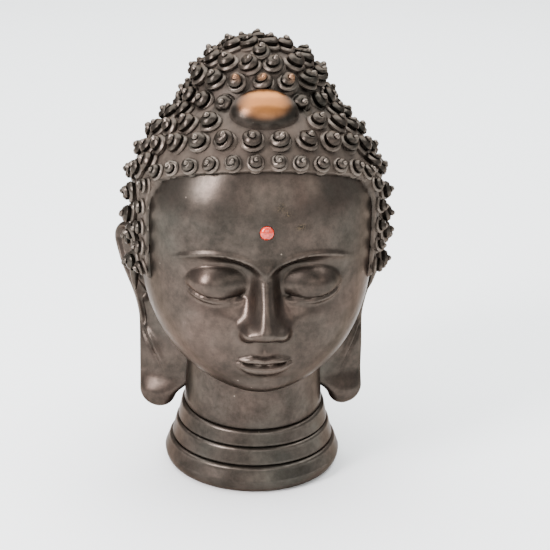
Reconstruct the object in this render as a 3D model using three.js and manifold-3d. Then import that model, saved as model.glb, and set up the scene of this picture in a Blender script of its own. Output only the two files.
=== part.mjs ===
// A cast bronze Buddha head on a neck of three stepped rings, with a glass stone set in the forehead.
// Millimetres, +Z up, face towards -Y. The origin is the middle of the flat underside of the neck.
import * as THREE from "three";
import { ConvexHull } from "three/addons/math/ConvexHull.js";
import { mergeVertices } from "three/addons/utils/BufferGeometryUtils.js";
import Module from "manifold-3d";

const wasm = await Module();
wasm.setup();

// Driving sizes
const neckHeight = 75; // underside to the point of the chin
const faceThird = 58; // chin to nose, nose to brow, brow to hairline
const faceWidth = 166; // cheek to cheek, five eyes wide
const curlPitch = 17.8; // from curl to curl along a row
const curlRadius = 8.6;
const curlHeight = 11.2;
const capThickness = 3; // how far the ground of the hair stands proud of the brow
const stoneRadius = 4.8;
const stoneDome = 2.6; // height of the stone above the skin
const socketDepth = 2;
const socketClearance = 0.3;

// Facial canon: three equal thirds, and a width of five eyes
const chinZ = neckHeight;
const noseZ = chinZ + faceThird;
const browZ = noseZ + faceThird;
const hairlineZ = browZ + faceThird;
const eyeWidth = faceWidth / 5;
const faceCentreZ = (chinZ + hairlineZ) / 2;

// Skull: an egg, round above its widest level and squarer towards the jaw
const skull = {
  centreZ: hairlineZ - 0.69 * faceThird,
  side: 0.527 * faceWidth,
  front: 0.53 * faceWidth,
  back: 0.555 * faceWidth,
  rise: 0.53 * faceWidth,
  squareness: 2.2,
  jawRise: 0.55 * faceThird,
  underChin: 0.05 * faceThird,
};

// Crown: the second, smaller dome of hair
const crown = {
  centreY: 0.05 * faceWidth,
  centreZ: skull.centreZ + 0.47 * faceWidth,
  radius: 0.288 * faceWidth,
  height: 0.215 * faceWidth,
  squareness: 1.7,
  flare: 0.35, // how fast its foot widens where it meets the skull
  rows: [
    { angle: 92, count: 17 },
    { angle: 73, count: 15 },
    { angle: 54, count: 12 },
    { angle: 36, count: 9 },
    { angle: 18, count: 5 },
    { angle: 0, count: 1 },
  ], // degrees from the top, and curls in the ring
  lift: 0.3, // how much its curls turn upwards
};

// Hair: rows circle a pole that leans back, and the face is a window in the cap
const hair = {
  lean: THREE.MathUtils.degToRad(17),
  windowHalfAngle: THREE.MathUtils.degToRad(62.5),
  windowDip: 0.46 * faceThird,
  windowFoot: browZ - 0.5 * faceThird,
  cornerPower: 11,
  napeZ: noseZ - 0.3 * faceThird,
  rowAngles: [20.5, 28.5, 36.5, 46.6, 56.7, 66.8, 76.9, 87, 97.1, 107.2, 117.3, 127.4, 137.5], // degrees
  hairlineShare: 0.8, // size of a curl on the hairline, against the others
  lift: 0.06,
};

const clamp = THREE.MathUtils.clamp;
const ramp = (from, to, value) => {
  const t = clamp((value - from) / (to - from), 0, 1);
  return t * t * (3 - 2 * t);
};
const bell = (distance, width) => Math.exp(-((distance / width) ** 2));
// The smaller of two values, rounded where they cross.
const softMin = (a, b, width) => -width * Math.log(Math.exp(-a / width) + Math.exp(-b / width));

// How far a point is outside the plain skull: below 0 inside, above 0 outside.
function outsideSkull(p) {
  const fall = clamp((skull.centreZ - p.z) / (skull.centreZ - chinZ), 0, 1);
  const towardsBack = (p.y + skull.front) / (skull.front + skull.back);
  const level = p.z - skull.jawRise * ramp(0.2, 1, fall) * towardsBack;
  let side;
  let front;
  let back;
  if (level > skull.centreZ) {
    const t = (level - skull.centreZ) / skull.rise;
    if (t >= 1) return 1;
    side = (1 - t * t) ** (1 / 1.5);
    front = (1 - t * t) ** (1 / 2);
    back = (1 - t * t) ** (1 / 1.8);
  } else {
    const t = (skull.centreZ - level) / (skull.centreZ - chinZ + skull.underChin);
    if (t >= 1) return 1;
    side = (1 - t ** 3) ** (1 / 2.4);
    front = (1 - t ** 8) ** (1 / 3);
    back = (1 - t ** 2.4) ** (1 / 2);
  }
  const depth = p.y < 0 ? skull.front * front : skull.back * back;
  const x = Math.abs(p.x) / (skull.side * side);
  const y = Math.abs(p.y) / depth;
  return x ** skull.squareness + y ** skull.squareness - 1;
}

// How far a point is outside the crown's dome.
function outsideCrown(p) {
  const up = (p.z - crown.centreZ) / crown.height;
  const radius = crown.radius * (1 + crown.flare * Math.max(0, -up));
  const across = Math.hypot(p.x, p.y - crown.centreY) / radius;
  return across ** crown.squareness + Math.abs(up) ** crown.squareness - 1;
}

// The point where a ray from inside a form leaves it, found by halving.
function surfacePoint(outside, from, direction) {
  let near = 0;
  let far = 2 * faceWidth;
  const p = new THREE.Vector3();
  for (let i = 0; i < 40; i++) {
    const middle = (near + far) / 2;
    p.copy(from).addScaledVector(direction, middle);
    if (outside(p) < 0) near = middle;
    else far = middle;
  }
  return p;
}

// The outward direction at a surface point, from the slope of the form's own measure.
function outward(outside, p) {
  const step = 0.2;
  const slope = ["x", "y", "z"].map((axis) => {
    const ahead = p.clone();
    const behind = p.clone();
    ahead[axis] += step;
    behind[axis] -= step;
    return outside(ahead) - outside(behind);
  });
  return new THREE.Vector3(...slope).normalize();
}

// Height of the hairline at an angle round from the front.
const hairlineAt = (angle) => hairlineZ - hair.windowDip * (1 - Math.cos(angle));

// Height of the hair's lower edge, from the sideburns to the nape.
const hairFootAt = (angle) => THREE.MathUtils.lerp(hair.windowFoot, hair.napeZ, ramp(1.3, 2.3, angle));

// 1 on the hair cap and 0 on the skin, with a short slope between them.
function hairCover(p) {
  const angle = Math.abs(Math.atan2(p.x, -p.y));
  const up = Math.max(0, (p.z - hair.windowFoot) / (hairlineAt(angle) - hair.windowFoot));
  const edge = (angle / hair.windowHalfAngle) ** hair.cornerPower + up ** hair.cornerPower;
  const footZ = hairFootAt(angle);
  return ramp(0.94, 1.06, edge) * ramp(footZ - 1, footZ + 1, p.z);
}

// Face relief, in shares of a third (heights and depths) and of an eye (widths)
const T = faceThird;
const E = eyeWidth;

// The lines of the face: each gives a height for a distance s from the middle.
const eyeMiddle = 1.03 * E;
const mouthHalfWidth = 0.7 * E;
const browLine = (s) => browZ + 0.02 * T - (s < E ? 0.2 : 0.16) * T * ((s - E) / E) ** 2;
const lashLine = (s) => browZ - 0.53 * T + 0.15 * T * ((s - 0.88 * E) / (0.85 * E)) ** 2;
const mouthLine = (s) => noseZ - 0.335 * T + 0.05 * T * Math.min(1, s / mouthHalfWidth) ** 2;
const lipShare = (s, power) => 1 - Math.min(1, s / mouthHalfWidth) ** power;
const bow = (s) => 0.02 * T * bell(s - 0.2 * E, 0.13 * E) - 0.015 * T * bell(s, 0.1 * E);
const upperLipHeight = (s) => 0.115 * T * lipShare(s, 2.2) + bow(s) * lipShare(s, 4);
const lowerLipHeight = (s) => 0.16 * T * lipShare(s, 2.6);

// Arched brows over eye sockets that are deepest beside the nose.
function browRelief(s, z) {
  const below = browLine(s) - z;
  const depth = 0.035 * T + 0.1 * T * bell(s - 0.56 * E, 0.42 * E);
  const socket = -depth * ramp(0, 0.13 * T, below) * (1 - ramp(0.42 * T, 0.8 * T, below));
  const edge = 0.025 * T * bell(below, 0.035 * T) * ramp(0.15 * E, 0.5 * E, s);
  return (socket + edge) * (1 - ramp(1.5 * E, 2.1 * E, s));
}

// Lowered lids: a dome over the eyeball, cut by the line of the lashes.
function eyeRelief(s, z) {
  const across = (s - eyeMiddle) / (0.66 * E);
  const up = (z - (browZ - 0.37 * T)) / (0.235 * T);
  const lid = 0.145 * T * Math.max(0, 1 - across * across - up * up) ** 0.7;
  const above = z - lashLine(s);
  const along = ramp(0.42 * E, 0.55 * E, s) * (1 - ramp(1.5 * E, 1.7 * E, s));
  const lash = -0.03 * T * bell(above, 0.022 * T) * along;
  const lowerLid = 0.02 * T * bell(above + 0.06 * T, 0.035 * T) * along;
  return lid + lash + lowerLid;
}

// A straight nose that widens and rises to a rounded tip, with a wing each side.
function noseRelief(s, z) {
  const rootZ = noseZ + 0.98 * T;
  const tipZ = noseZ + 0.18 * T;
  const down = clamp((rootZ - z) / (rootZ - tipZ), 0, 1.15);
  const under = clamp((tipZ - z) / (0.2 * T), 0, 1);
  const ball = 0.325 * T * Math.sqrt(1 - under * under);
  const reach = Math.max(0, softMin(0.34 * T * down ** 1.1, ball, 0.03 * T));
  const halfWidth = E * (0.2 + 0.08 * down);
  const ridge = reach * Math.exp(-((s / halfWidth) ** (2.5 - 0.4 * down)));
  const wing = 0.15 * T * bell(s - 0.35 * E, 0.17 * E) * bell(z - noseZ - 0.09 * T, 0.11 * T);
  return ridge + wing;
}

// Closed lips with lifted corners, on a soft mound, under the groove below the nose.
function mouthRelief(s, z) {
  const above = z - mouthLine(s);
  const room = above > 0 ? upperLipHeight(s) : lowerLipHeight(s);
  const t = room > 0 ? Math.abs(above) / room : 1;
  const plump = t < 1 ? 0.052 * T * (4 * t * (1 - t)) ** 0.6 * ramp(0, 0.6, lipShare(s, 1)) : 0;
  const crease = -0.016 * T * bell(above, 0.02 * T) * (1 - ramp(0.7, 1.05, s / mouthHalfWidth));
  const mound = 0.07 * T * bell(s, 0.85 * E) * bell(above, 0.3 * T);
  const groove = -0.02 * T * bell(s, 0.07 * E) * ramp(0.1 * T, 0.2 * T, above) * ramp(0, 0.08 * T, noseZ - z);
  const corner = -0.025 * T * bell(s - 0.83 * E, 0.16 * E) * bell(above - 0.05 * T, 0.09 * T);
  return plump + crease + mound + groove + corner;
}

// A round chin under a soft hollow, and full cheeks.
function chinRelief(s, z) {
  const hollow = -0.045 * T * bell(s, 0.5 * E) * bell(z - noseZ + 0.56 * T, 0.07 * T);
  const chin = 0.09 * T * bell(s, 0.55 * E) * bell(z - chinZ - 0.22 * T, 0.2 * T);
  const cheek = 0.04 * T * bell(s - 1.45 * E, 0.6 * E) * bell(z - noseZ - 0.02 * T, 0.4 * T);
  return hollow + chin + cheek;
}

function faceRelief(x, z) {
  const s = Math.abs(x);
  return browRelief(s, z) + eyeRelief(s, z) + noseRelief(s, z) + mouthRelief(s, z) + chinRelief(s, z);
}

// Where the face needs points of its own: along its lines and at offsets from them.
const faceLines = [
  { line: lashLine, from: 0.44 * E, to: 1.66 * E, count: 9, offsets: [-0.06 * T, 0, 0.045 * T] },
  { line: browLine, from: 0.28 * E, to: 1.9 * E, count: 9, offsets: [-0.09 * T, 0, 0.06 * T] },
  { line: mouthLine, from: 0, to: 0.7 * E, count: 7, offsets: [0] },
  { line: (s) => mouthLine(s) + 0.5 * upperLipHeight(s), from: 0, to: 0.5 * E, count: 5, offsets: [0] },
  { line: (s) => mouthLine(s) - 0.5 * lowerLipHeight(s), from: 0, to: 0.52 * E, count: 5, offsets: [0] },
  { line: (s) => mouthLine(s) + upperLipHeight(s), from: 0, to: 0.56 * E, count: 6, offsets: [0, 0.035 * T] },
  { line: (s) => mouthLine(s) - lowerLipHeight(s), from: 0, to: 0.56 * E, count: 6, offsets: [0, -0.05 * T] },
  { line: () => noseZ - 0.01 * T, from: 0, to: 0.5 * E, count: 5, offsets: [-0.03 * T, 0.04 * T] },
  { line: () => noseZ + 0.18 * T, from: 0, to: 0.24 * E, count: 3, offsets: [-0.07 * T, 0, 0.1 * T] },
];

function faceLinePoints() {
  return faceLines.flatMap(({ line, from, to, count, offsets }) =>
    Array.from({ length: count }, (_, i) => from + ((to - from) * i) / (count - 1)).flatMap((s) =>
      offsets.flatMap((offset) => (s > 0 ? [s, -s] : [0]).map((x) => faceBase(x, line(s) + offset))),
    ),
  );
}

// How far apart points may lie: close on eyes, nose and mouth, wide on plain skin, widest behind.
function faceSpacing(p) {
  const s = Math.abs(p.x);
  const eye = Math.hypot((s - eyeMiddle) / (0.75 * E), (p.z - browZ + 0.36 * T) / (0.34 * T));
  const nose = Math.hypot(s / (0.5 * E), (p.z - noseZ - 0.3 * T) / (0.42 * T));
  const mouth = Math.hypot(s / (0.85 * E), (p.z - noseZ + 0.35 * T) / (0.25 * T));
  const near = Math.min(eye, nose, mouth);
  return p.y > 0 ? 0.3 * T : T * clamp(0.073 + 0.08 * (near - 1), 0.073, 0.18);
}

const faceMiddle = new THREE.Vector3(0, 0, faceCentreZ);

// A point on the front of the plain skull.
function faceBase(x, z) {
  return surfacePoint(outsideSkull, new THREE.Vector3(x, 0, z), new THREE.Vector3(0, -1, 0));
}

// A point of the plain skull, at an angle round from the front.
function skullPoint(z, angle) {
  return surfacePoint(outsideSkull, new THREE.Vector3(0, 0, z), new THREE.Vector3(Math.sin(angle), -Math.cos(angle), 0));
}

// A sample of a skin keeps its place on the plain form, and its own place after carving.
function onSkin(base) {
  const relief = base.y < 0 ? faceRelief(base.x, base.z) : 0;
  const away = new THREE.Vector3(base.x, base.y, 0).normalize();
  return { base, at: base.clone().addScaledVector(away, relief) };
}

function onCap(base) {
  return { base, at: base.clone().addScaledVector(outward(outsideSkull, base), capThickness) };
}

// Points evenly spaced along the edge of the face window, moved out by a margin at its sides and top.
function windowPath(sideMargin, topMargin, pitch) {
  const path = [];
  const steps = 800;
  for (let i = 0; i <= steps; i++) {
    const turn = (i / steps) * (Math.PI / 2);
    const power = hair.cornerPower;
    const reach = (Math.sin(turn) ** power + Math.cos(turn) ** power) ** (-1 / power);
    const angle = (hair.windowHalfAngle + sideMargin / skull.front) * Math.sin(turn) * reach;
    const top = hairlineAt(angle) + topMargin;
    const p = skullPoint(hair.windowFoot + (top - hair.windowFoot) * Math.cos(turn) * reach, angle);
    const gap = path.length ? p.distanceTo(path.at(-1)) : 2 * p.x;
    if (gap >= pitch) path.push(p);
  }
  return path.flatMap((p) => [p, p.clone().setX(-p.x)]);
}

// Evenly divided steps between stops of [value, count of steps to the next].
function divided(stops) {
  const values = [];
  for (let i = 0; i + 1 < stops.length; i++) {
    const [start, count] = stops[i];
    for (let k = 0; k < count; k++) values.push(start + ((stops[i + 1][0] - start) * k) / count);
  }
  values.push(stops.at(-1)[0]);
  return values;
}

// A closed skin over rings of points that all have the same count, with a point at each end.
function ringedGeometry(bottom, rings, top) {
  const count = rings[0].length;
  const points = [bottom, ...rings.flat(), top];
  const last = points.length - 1;
  const faces = [];
  for (let j = 0; j < count; j++) {
    const next = (j + 1) % count;
    faces.push(0, 1 + next, 1 + j);
    for (let i = 0; i + 1 < rings.length; i++) {
      const a = 1 + i * count;
      const b = a + count;
      faces.push(a + j, a + next, b + next, a + j, b + next, b + j);
    }
    const end = last - count;
    faces.push(end + j, end + next, last);
  }
  const geometry = new THREE.BufferGeometry().setFromPoints(points);
  geometry.setIndex(faces);
  return geometry;
}

// A closed skin through samples, each joined to its neighbours as they are seen from a middle point.
function skinGeometry(samples, middle) {
  const directions = samples.map(({ base }) => base.clone().sub(middle).normalize());
  const indexOf = new Map(directions.map((direction, i) => [direction, i]));
  const hull = new ConvexHull().setFromPoints(directions);
  const faces = hull.faces.flatMap(({ edge }) =>
    [edge.prev, edge, edge.next].map((corner) => indexOf.get(corner.head().point)),
  );
  const geometry = new THREE.BufferGeometry().setFromPoints(samples.map(({ at }) => at));
  geometry.setIndex(faces);
  return geometry;
}

// One snail-shell curl: a tip, a shoulder and a foot that touching curls share.
const curlSides = 6;
const shoulderRadius = 0.68;
const shoulderHeight = 0.7;
const footSpacing = 0.6;

// The point of a curl at a turn round its axis, a distance out and a height up.
function curlPoint({ at, axis }, turn, out, up) {
  const across = new THREE.Vector3(0, 0, 1).cross(axis).normalize();
  const along = axis.clone().cross(across);
  return at
    .clone()
    .addScaledVector(across, out * Math.cos(turn))
    .addScaledVector(along, out * Math.sin(turn))
    .addScaledVector(axis, up);
}

// The samples of all curls, and of their feet where no other foot is near, as far as the ground carries them.
function curlSamples(seats, feet, carries) {
  const samples = [];
  for (const seat of seats) {
    const radius = curlRadius * seat.size;
    const height = curlHeight * seat.size;
    samples.push({ base: seat.at, at: curlPoint(seat, 0, 0, height) });
    for (let k = 0; k < curlSides; k++) {
      const turn = (2 * Math.PI * k) / curlSides;
      const out = shoulderRadius * radius * seat.size;
      const base = curlPoint(seat, turn, out, 0);
      if (carries(base)) samples.push({ base, at: curlPoint(seat, turn, out, shoulderHeight * height) });
    }
    for (let k = 0; k < 2 * curlSides; k++) {
      const foot = curlPoint(seat, (Math.PI * (k + 0.5)) / curlSides, radius, -0.04 * curlHeight);
      const free = feet.every(({ at }) => at.distanceTo(foot) > footSpacing * curlRadius);
      const outside = seats.every((other) => other.at.distanceTo(foot) > 0.9 * curlRadius * other.size);
      if (free && outside && carries(foot)) feet.push({ base: foot, at: foot });
    }
  }
  return samples;
}

// Whether a place is clear of all curls.
const clearOf = (seats, margin) => (p) =>
  seats.every(({ at, size }) => at.distanceTo(p) > margin + size * curlRadius);

// The skull, with the face, the raised cap of hair and its curls.
const ledge = 0.6; // half the width of the slope at the edge of the cap
const edgeSpacing = 0.85 * curlRadius;
const skinGrid = {
  rows: divided([[chinZ - 0.9 * T, 60], [hairlineZ + 0.5 * T, 0]]), // heights in front of the face
  columns: divided([[0, 16], [60, 24], [180, 0]]).map(THREE.MathUtils.degToRad),
  capSpacing: 0.15 * T,
  least: 0.12 * T,
};

function skullGeometry(seats) {
  const edge = windowPath(-ledge, -ledge, edgeSpacing).map(onSkin);
  const feet = windowPath(ledge, ledge, edgeSpacing).map(onCap);
  const step = (1.8 * edgeSpacing) / skull.side;
  for (let angle = hair.windowHalfAngle + 0.5 * step; angle < Math.PI; angle += step) {
    for (const turn of [angle, -angle]) {
      edge.push(onSkin(skullPoint(hairFootAt(angle) - ledge, turn)));
      feet.push(onCap(skullPoint(hairFootAt(angle) + ledge, turn)));
    }
  }
  const samples = curlSamples(seats, feet, (p) => hairCover(p) === 1);
  const skin = [...edge, ...faceLinePoints().map(onSkin)];
  const open = clearOf(seats, 0.6 * curlRadius);
  for (const row of skinGrid.rows) {
    for (const angle of skinGrid.columns) {
      const slope = (row - faceCentreZ) / skull.front;
      const ray = new THREE.Vector3(Math.sin(angle), -Math.cos(angle), slope).normalize();
      const base = surfacePoint(outsideSkull, faceMiddle, ray);
      const cover = hairCover(base);
      const pair = angle > 0 && angle < Math.PI ? [base, base.clone().setX(-base.x)] : [base];
      const spacing = faceSpacing(base);
      const free = skin.every((other) => other.base.distanceTo(base) > Math.min(spacing, skinGrid.least));
      if (!free) continue;
      if (cover === 0 && skin.every((other) => other.base.distanceTo(base) > spacing)) skin.push(...pair.map(onSkin));
      const bare = samples.every((other) => other.base.distanceTo(base) > skinGrid.capSpacing);
      if (cover === 1 && open(base) && bare) {
        samples.push(...pair.map(onCap));
      }
    }
  }
  for (const z of [-1, 1]) {
    const base = surfacePoint(outsideSkull, faceMiddle, new THREE.Vector3(0, 0, z));
    samples.push({ base, at: base });
  }
  return skinGeometry([...samples, ...skin, ...feet], faceMiddle);
}

const crownMiddle = new THREE.Vector3(0, crown.centreY, crown.centreZ);

function crownGeometry(seats) {
  const feet = [];
  const samples = curlSamples(seats, feet, () => true);
  const open = clearOf(seats, 0.3 * curlRadius);
  for (const degrees of [-50, -25, 0, 20, 40, 60, 80]) {
    const rise = THREE.MathUtils.degToRad(degrees);
    for (let k = 0; k < 16; k++) {
      const turn = (2 * Math.PI * k) / 16;
      const ray = new THREE.Vector3(Math.cos(rise) * Math.sin(turn), -Math.cos(rise) * Math.cos(turn), Math.sin(rise));
      const base = surfacePoint(outsideCrown, crownMiddle, ray);
      if (open(base)) samples.push({ base, at: base });
    }
  }
  return skinGeometry([...samples, ...feet], crownMiddle);
}

// Neck: a flared foot with a rolled rim, and three leaning bands with a crease above each
const neck = {
  restRadius: 61,
  rimRadius: 68,
  rimZ: 10,
  bands: [
    { top: 20.5, shoulder: 65, crease: 61 },
    { top: 33.5, shoulder: 59.5, crease: 56.5 },
    { top: 45.5, shoulder: 55.5, crease: 52 },
  ],
  creaseDrop: 1.2, // height of a crease
  undercut: 0.6, // depth of a crease behind the foot of the next band
  shoulderDrop: 3.2, // height over which a shoulder is rounded
  backRise: 9, // how much higher the top crease runs at the back
  throatRadius: 50,
  insideHead: 0.62 * faceThird,
  sides: 24,
};

function neckGeometry() {
  const { restRadius, rimRadius, rimZ, undercut, shoulderDrop } = neck;
  const roll = 0.65 * (rimRadius - restRadius);
  const profile = [[0, 0], [restRadius, 0], [restRadius + roll, 0.32 * rimZ], [rimRadius, rimZ]];
  for (const { top, shoulder, crease } of neck.bands) {
    profile.push([shoulder, top - shoulderDrop]);
    profile.push([crease + 0.6 * (shoulder - crease), top - 0.3 * shoulderDrop]);
    profile.push([crease - undercut, top]);
    profile.push([crease, top + neck.creaseDrop]);
  }
  const topZ = chinZ + neck.insideHead;
  profile.push([neck.throatRadius, chinZ - 0.15 * T], [neck.throatRadius, topZ], [0, topZ]);
  const geometry = new THREE.LatheGeometry(profile.map(([x, z]) => new THREE.Vector2(x, z)), neck.sides);
  geometry.rotateX(Math.PI / 2);
  const place = geometry.attributes.position;
  for (let i = 0; i < place.count; i++) {
    const z = place.getZ(i);
    const behind = 0.5 + 0.5 * (place.getY(i) / (Math.hypot(place.getX(i), place.getY(i)) || 1));
    place.setZ(i, z + neck.backRise * behind * Math.min(1, z / neck.bands[2].top) ** 4);
  }
  return geometry;
}

// Ear: a tall leaf that turns from the side of the head to face forward at the long lobe
const ear = {
  topZ: browZ - 0.12 * faceThird,
  length: 2.52 * faceThird,
  rootY: 0.04 * faceWidth,
  lobeX: 0.525 * faceWidth,
  flareX: 0.113 * faceWidth,
  rootX: 0.475 * faceWidth, // inner edge at the top, inside the head
  webX: 0.25 * faceWidth, // inner edge beside the neck
  freeX: 0.36 * faceWidth, // inner edge of the free end
  topTurn: THREE.MathUtils.degToRad(57),
  lobeTurn: THREE.MathUtils.degToRad(20),
  topThickness: 0.055 * faceWidth,
  lobeThickness: 0.085 * faceWidth,
  front: [0.97, 0.88, 0.66, 0.44, 0.2, -0.1, -0.45, -0.8], // samples across, from the outer edge at 1
  back: [-0.9, -0.5, 0, 0.5, 0.9],
};

// Carving of an ear's front, from the share down it and the distances to its outer edge and its top.
function earRelief(down, inset, top) {
  const border = -2.5 * Math.log(Math.exp(-inset / 2.5) + Math.exp(-top / 2.5));
  const rim = 2.6 * bell(border - 3, 2.6) * (1 - ramp(0.46, 0.64, down));
  const groove = -3.4 * bell(border - 8.5, 3.2) * (1 - ramp(0.36, 0.47, down));
  const innerFold = 1.6 * bell(border - 14, 2.8) * (1 - ramp(0.28, 0.4, down));
  const share = clamp((down - 0.1) / 0.32, 0, 1);
  const hollowEnds = ramp(0.08, 0.17, down) * (1 - ramp(0.39, 0.44, down));
  const hollow = -6 * bell(inset - (27 - 15 * share), 11 - 6.5 * share) * hollowEnds;
  const beside = inset - (4 + (18 * (down - 0.57)) / 0.23);
  const foldEnds = ramp(0.54, 0.6, down) * (1 - ramp(0.72, 0.84, down));
  const fold = 1.7 * bell(beside - 2.4, 2.6) * foldEnds;
  return rim + groove + innerFold + hollow + fold;
}

// A point on the right ear: down is 0 at the top and 1 at the lobe's end, round goes round its section.
function earPoint(down, round) {
  const outerX = ear.lobeX + ear.flareX * (0.5 + 0.5 * Math.cos(Math.PI * Math.min(1, down / 0.55)));
  const webX = THREE.MathUtils.lerp(ear.rootX, ear.webX, ramp(0.2, 0.62, down));
  const innerX = webX + (ear.freeX - ear.webX) * ramp(0.8, 0.93, down);
  const turn = THREE.MathUtils.lerp(ear.topTurn, ear.lobeTurn, ramp(0.2, 0.7, down));
  const half = (outerX - innerX) / Math.cos(turn) / 2;
  const thickness = THREE.MathUtils.lerp(ear.topThickness, ear.lobeThickness, ramp(0.3, 0.8, down));
  const topEnd = Math.sqrt(1 - clamp(1 - down / 0.13, 0, 1) ** 2);
  const lobeEnd = Math.sqrt(1 - clamp((down - 0.9) / 0.1, 0, 1) ** 2);
  const end = topEnd * lobeEnd;
  const face = Math.sin(round);
  const across = half * Math.cos(round) * end;
  const relief = face > 0 ? earRelief(down, half * end - across, ear.length * down) * Math.sqrt(face) : 0;
  const out = (0.5 * thickness * Math.sign(face) * Math.abs(face) ** 0.8 + relief) * end;
  return new THREE.Vector3(
    (outerX + innerX) / 2 + across * Math.cos(turn) + out * Math.sin(turn),
    ear.rootY + 0.9 * half * Math.sin(turn) + across * Math.sin(turn) - out * Math.cos(turn),
    ear.topZ - ear.length * down,
  );
}

function earGeometry(side) {
  const downs = divided([[0.012, 3], [0.13, 8], [0.6, 3], [0.84, 4], [0.988, 0]]);
  const rounds = [...ear.front.map((p) => Math.acos(p)), ...ear.back.map((p) => 2 * Math.PI - Math.acos(p))];
  return sidedGeometry(side, earPoint(0, 0), downs.map((down) => rounds.map((round) => earPoint(down, round))), earPoint(1, 0));
}

// Tragus: the pointed tongue that hangs in front of the ear's hollow
const tragus = {
  topZ: browZ - 0.45 * faceThird,
  length: 0.6 * faceThird,
  rootX: 0.515 * faceWidth,
  reachX: 0.035 * faceWidth,
  rootY: 0.02 * faceWidth,
  backY: 0.1 * faceWidth,
  halfWidth: 0.024 * faceWidth,
  halfDepth: 0.028 * faceWidth,
};

function tragusPoint(down, round) {
  const girth = down < 0.3 ? Math.sqrt(1 - (1 - down / 0.3) ** 2) : (1 - ((down - 0.3) / 0.7) ** 2.2) ** 0.8;
  return new THREE.Vector3(
    tragus.rootX + tragus.reachX * (ramp(0, 0.35, down) - 0.17 * down) + tragus.halfWidth * girth * Math.cos(round),
    tragus.rootY + tragus.backY * down ** 1.5 - tragus.halfDepth * girth * Math.sin(round),
    tragus.topZ - tragus.length * down,
  );
}

function tragusGeometry(side) {
  const rounds = divided([[0, 6], [2 * Math.PI, 0]]).slice(0, -1);
  const rings = [0.05, 0.3, 0.6, 0.85].map((down) => rounds.map((round) => tragusPoint(down, round)));
  return sidedGeometry(side, tragusPoint(0, 0), rings, tragusPoint(1, 0));
}

// A ringed skin for the right side, or its mirror image for the left.
function sidedGeometry(side, bottom, rings, top) {
  const mirrored = (p) => p.clone().setX(p.x * side);
  const geometry = ringedGeometry(mirrored(bottom), rings.map((ring) => ring.map(mirrored)), mirrored(top));
  if (side < 0) flip(geometry);
  return geometry;
}

// Turns every face of a geometry over.
function flip(geometry) {
  const index = geometry.index.array;
  for (let i = 0; i < index.length; i += 3) [index[i + 1], index[i + 2]] = [index[i + 2], index[i + 1]];
}

// Boss: the smooth oval jewel above the middle of the hairline
const boss = {
  halfWidth: 0.145 * faceWidth,
  halfHeight: 0.108 * faceWidth,
  halfDepth: 0.085 * faceWidth,
  angle: THREE.MathUtils.degToRad(57), // of its middle, above the horizon, from the skull's centre
  facing: THREE.MathUtils.degToRad(42), // of the way it faces
};

const bossRay = new THREE.Vector3(0, -Math.cos(boss.angle), Math.sin(boss.angle));
const bossMiddle = surfacePoint(outsideSkull, new THREE.Vector3(0, 0, skull.centreZ), bossRay);

function bossGeometry() {
  const geometry = new THREE.SphereGeometry(1, 16, 9);
  geometry.scale(boss.halfWidth, boss.halfDepth, boss.halfHeight);
  geometry.rotateX(-boss.facing);
  geometry.translate(bossMiddle.x, bossMiddle.y, bossMiddle.z);
  return geometry;
}

// The direction at an angle from a leaning pole and a turn round it from the front.
function aim(lean, angle, turn) {
  return new THREE.Vector3(
    Math.sin(angle) * Math.sin(turn),
    -Math.sin(angle) * Math.cos(turn),
    Math.cos(angle),
  ).applyAxisAngle(new THREE.Vector3(-1, 0, 0), lean);
}

// Places of curls in one ring at an angle from the pole, sorted from the front to the back.
function ringOfPlaces(outside, middle, lean, angle, count, shift) {
  const steps = Array.from({ length: count }, (_, k) => ((k + shift + count / 2) % count) - count / 2);
  steps.sort((a, b) => Math.abs(a) - Math.abs(b));
  return steps.map((step) => surfacePoint(outside, middle, aim(lean, angle, (2 * Math.PI * step) / count)));
}

// A place in the boss's own frame, where it is widest along x and thinnest along y.
const inBoss = (p) => p.clone().sub(bossMiddle).applyAxisAngle(new THREE.Vector3(1, 0, 0), boss.facing);

// How far a place is from the boss's middle, where 1 is its edge moved out by some room.
const bossReach = ({ x, z }, room) => Math.hypot(x / (boss.halfWidth + room), z / (boss.halfHeight + room));

function clearOfBoss(p) {
  const away = inBoss(p);
  return bossReach(away, 0.35 * curlRadius) > 1 || away.y > 0.5 * faceThird;
}

const onOpenCrown = (p) => clearOfBoss(p) && outsideSkull(p) > 0;

// Whether a place is on open hair, clear of the face, the ears, the boss and the crown.
function onOpenHair(p) {
  const underEar = p.z < ear.topZ + 0.3 * curlRadius && Math.abs(p.y - 0.155 * faceWidth) < 0.15 * faceWidth;
  return hairCover(p) === 1 && clearOfBoss(p) && outsideCrown(p) > 0.02 && !underEar;
}

// Takes the places that keep their distance from all curls so far.
function take(seats, taken, places, gap) {
  for (const p of places) {
    if (taken.some((other) => other.distanceTo(p) <= gap)) continue;
    seats.push(p);
    taken.push(p);
  }
}

// Places of curls wherever rows leave a bare place.
function fill(seats, taken, outside, middle, lean, isOpen) {
  for (let degrees = 12; degrees < 150; degrees += 3) {
    const places = ringOfPlaces(outside, middle, lean, THREE.MathUtils.degToRad(degrees), 90, 0.5);
    take(seats, taken, places.filter(isOpen), 0.7 * curlPitch);
  }
}

function crownPlaces() {
  const seats = [];
  const taken = [];
  crown.rows.forEach(({ angle, count }, row) => {
    const shift = ((row + 1) % 2) / 2;
    const places = ringOfPlaces(outsideCrown, crownMiddle, 0, THREE.MathUtils.degToRad(angle), count, shift);
    take(seats, taken, places.filter(onOpenCrown), 0.72 * curlPitch);
  });
  fill(seats, taken, outsideCrown, crownMiddle, 0, onOpenCrown);
  return seats;
}

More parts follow.
